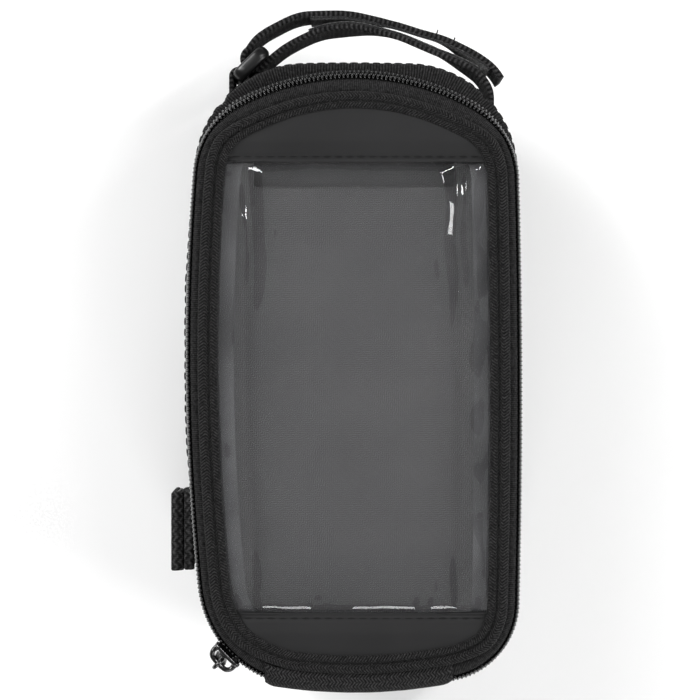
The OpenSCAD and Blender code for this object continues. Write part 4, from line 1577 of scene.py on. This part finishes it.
# The slider's lumps, each with its middle, half its size and how round it is: the outer and the
# inner plate, the lip and the post that join them, and the two feet of the bridge.
SLIDER_LUMPS = (
    ((1.05, 0, -0.2), (0.7, 5.0, 3.4), 0.35),
    ((-2.75, 0, 0), (0.5, 4.8, 2.4), 0.35),
    ((-0.1, 0, -3.3), (0.9, 4.4, 0.35), 0.35),
    ((-0.8, 2.6, 0), (1.6, 0.9, 0.4), 0.35),
    ((1.9, 3.9, 0), (0.9, 0.9, 1.0), 0.6),
    ((1.9, -3.9, 0), (0.9, 0.9, 1.0), 0.6),
)
BRIDGE = ((1.4, -4.0), (3.2, -3.9), (4.3, -3.1), (AXIS_OUT, -1.6), (AXIS_OUT, 0), (AXIS_OUT, 1.6),
          (4.3, 3.1), (3.2, 3.9), (1.4, 4.0))


def make_slider():
    """The slider with its bridge, and the pull that hangs from it."""
    build = Build()
    for middle, half, power in SLIDER_LUMPS:
        pebble(build, middle, half, power)
    swept(build, spline([(n, s, 0) for n, s in BRIDGE], 5), 0.82)
    slider = build.piece("slider_body", SLIDER_METAL, "slider", "slider_metal")
    close_up(slider)
    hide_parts("zip_slider")
    build = Build()
    turns = np.linspace(0, 2 * math.pi, 28, endpoint=False)
    eye = [(AXIS_OUT + EYE_R * math.cos(a), 0, EYE_R * math.sin(a)) for a in turns]
    swept(build, eye, 0.66, close=True)
    pebble(build, (AXIS_OUT, 0, -3.0), (0.62, 1.1, 1.5), 0.5)
    pebble(build, (AXIS_OUT, 0, -12.6), (0.85, 2.35, 9.2), 0.45, 24)
    pebble(build, (AXIS_OUT, 0, -18.2), (1.15, 1.5, 1.9), 0.7)
    pull = build.piece("pull_tab", SLIDER_METAL, "pull", "slider_metal")
    close_up(pull)
    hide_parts("zip_pull")


# ---------------------------------------------------------------- studio


# Each softbox: where it stands, what it looks at, its two sides in metres, and its power in watts.
BAG_MIDDLE = (0, 0, 0.08)
SOFTBOXES = {
    "key": ((-1.15, 0.85, 1.1), BAG_MIDDLE, (0.9, 0.9), 27),
    "fill": ((1.25, -0.35, 1.0), BAG_MIDDLE, (0.8, 1.1), 20),
    "rear": ((0.1, -1.35, 0.9), BAG_MIDDLE, (0.9, 0.7), 10),
    "ceiling": ((0, 0, 1.7), (0, 0, 0), (1.15, 1.15), 0.85),
    "strip_left": ((-0.42, 0.30, 0.75), (0, 0.02, 0.09), (0.05, 0.5), 2.2),
    "strip_right": ((0.42, 0.30, 0.75), (0, 0.02, 0.09), (0.05, 0.5), 2.2),
}
EYE_PLACE = (-0.0012, 0.0088, 0.992)
LENS = 153
FLOOR_HALF = 3


def make_studio():
    """A pale floor, softboxes over it, and a camera that looks straight down."""
    scene = bpy.context.scene
    scene.view_settings.view_transform = "Standard"
    scene.view_settings.look = "None"
    world = bpy.data.worlds.new("studio")
    scene.world = world
    world.use_nodes = True
    sky = world.node_tree.nodes["Background"]
    sky.inputs["Color"].default_value = (1, 1, 1, 1)
    sky.inputs["Strength"].default_value = 0.16
    mesh = bpy.data.meshes.new("floor")
    corners = [(x * FLOOR_HALF, y * FLOOR_HALF, 0) for x, y in ((-1, -1), (1, -1), (1, 1), (-1, 1))]
    mesh.from_pydata(corners, [], [(0, 1, 2, 3)])
    pale = bpy.data.materials.new("floor")
    pale.use_nodes = True
    paint = pale.node_tree.nodes["Principled BSDF"]
    paint.inputs["Base Color"].default_value = (0.86, 0.86, 0.86, 1)
    paint.inputs["Roughness"].default_value = 0.9
    mesh.materials.append(pale)
    floor = bpy.data.objects.new("floor", mesh)
    scene.collection.objects.link(floor)
    for name, (place, aim, size, watts) in SOFTBOXES.items():
        light = bpy.data.lights.new(name, "AREA")
        light.shape = "RECTANGLE"
        light.size, light.size_y = size
        light.energy = watts
        lamp = bpy.data.objects.new(name, light)
        lamp.location = place
        lamp.rotation_euler = (Vector(aim) - Vector(place)).to_track_quat("-Z", "Y").to_euler()
        scene.collection.objects.link(lamp)
    camera = bpy.data.cameras.new("camera")
    camera.sensor_width = 36
    camera.lens = LENS
    eye = bpy.data.objects.new("camera", camera)
    eye.location = EYE_PLACE
    scene.collection.objects.link(eye)
    scene.camera = eye


def paint_frame():
    """The frame's own pieces that stay in sight or stay inside."""
    for name, material in (
        ("wall_foam", FOAM),
        ("floor_foam", FOAM),
        ("lid_frame", FOAM),
        ("base_board", STIFFENER),
        ("base_ring", RING_PLASTIC),
    ):
        mesh = bpy.data.objects[name].data
        mesh.materials.clear()
        mesh.materials.append(material)
        for face in mesh.polygons:
            face.material_index = 0


make_studio()
make_walls()
make_base()
make_lining()
make_rim()
make_reflective()
make_tapes()
make_teeth()
make_piping()
make_film()
make_patch("front_cover", True, "front_patch")
make_patch("rear_cover", False, "rear_patch")
make_pocket()
make_lid_lining()
make_flap()
make_hinge_strip()
make_head_strap()
make_ring_anchor()
make_head_ring()
make_base_strap()
make_slider()
seams.make()
paint_frame()
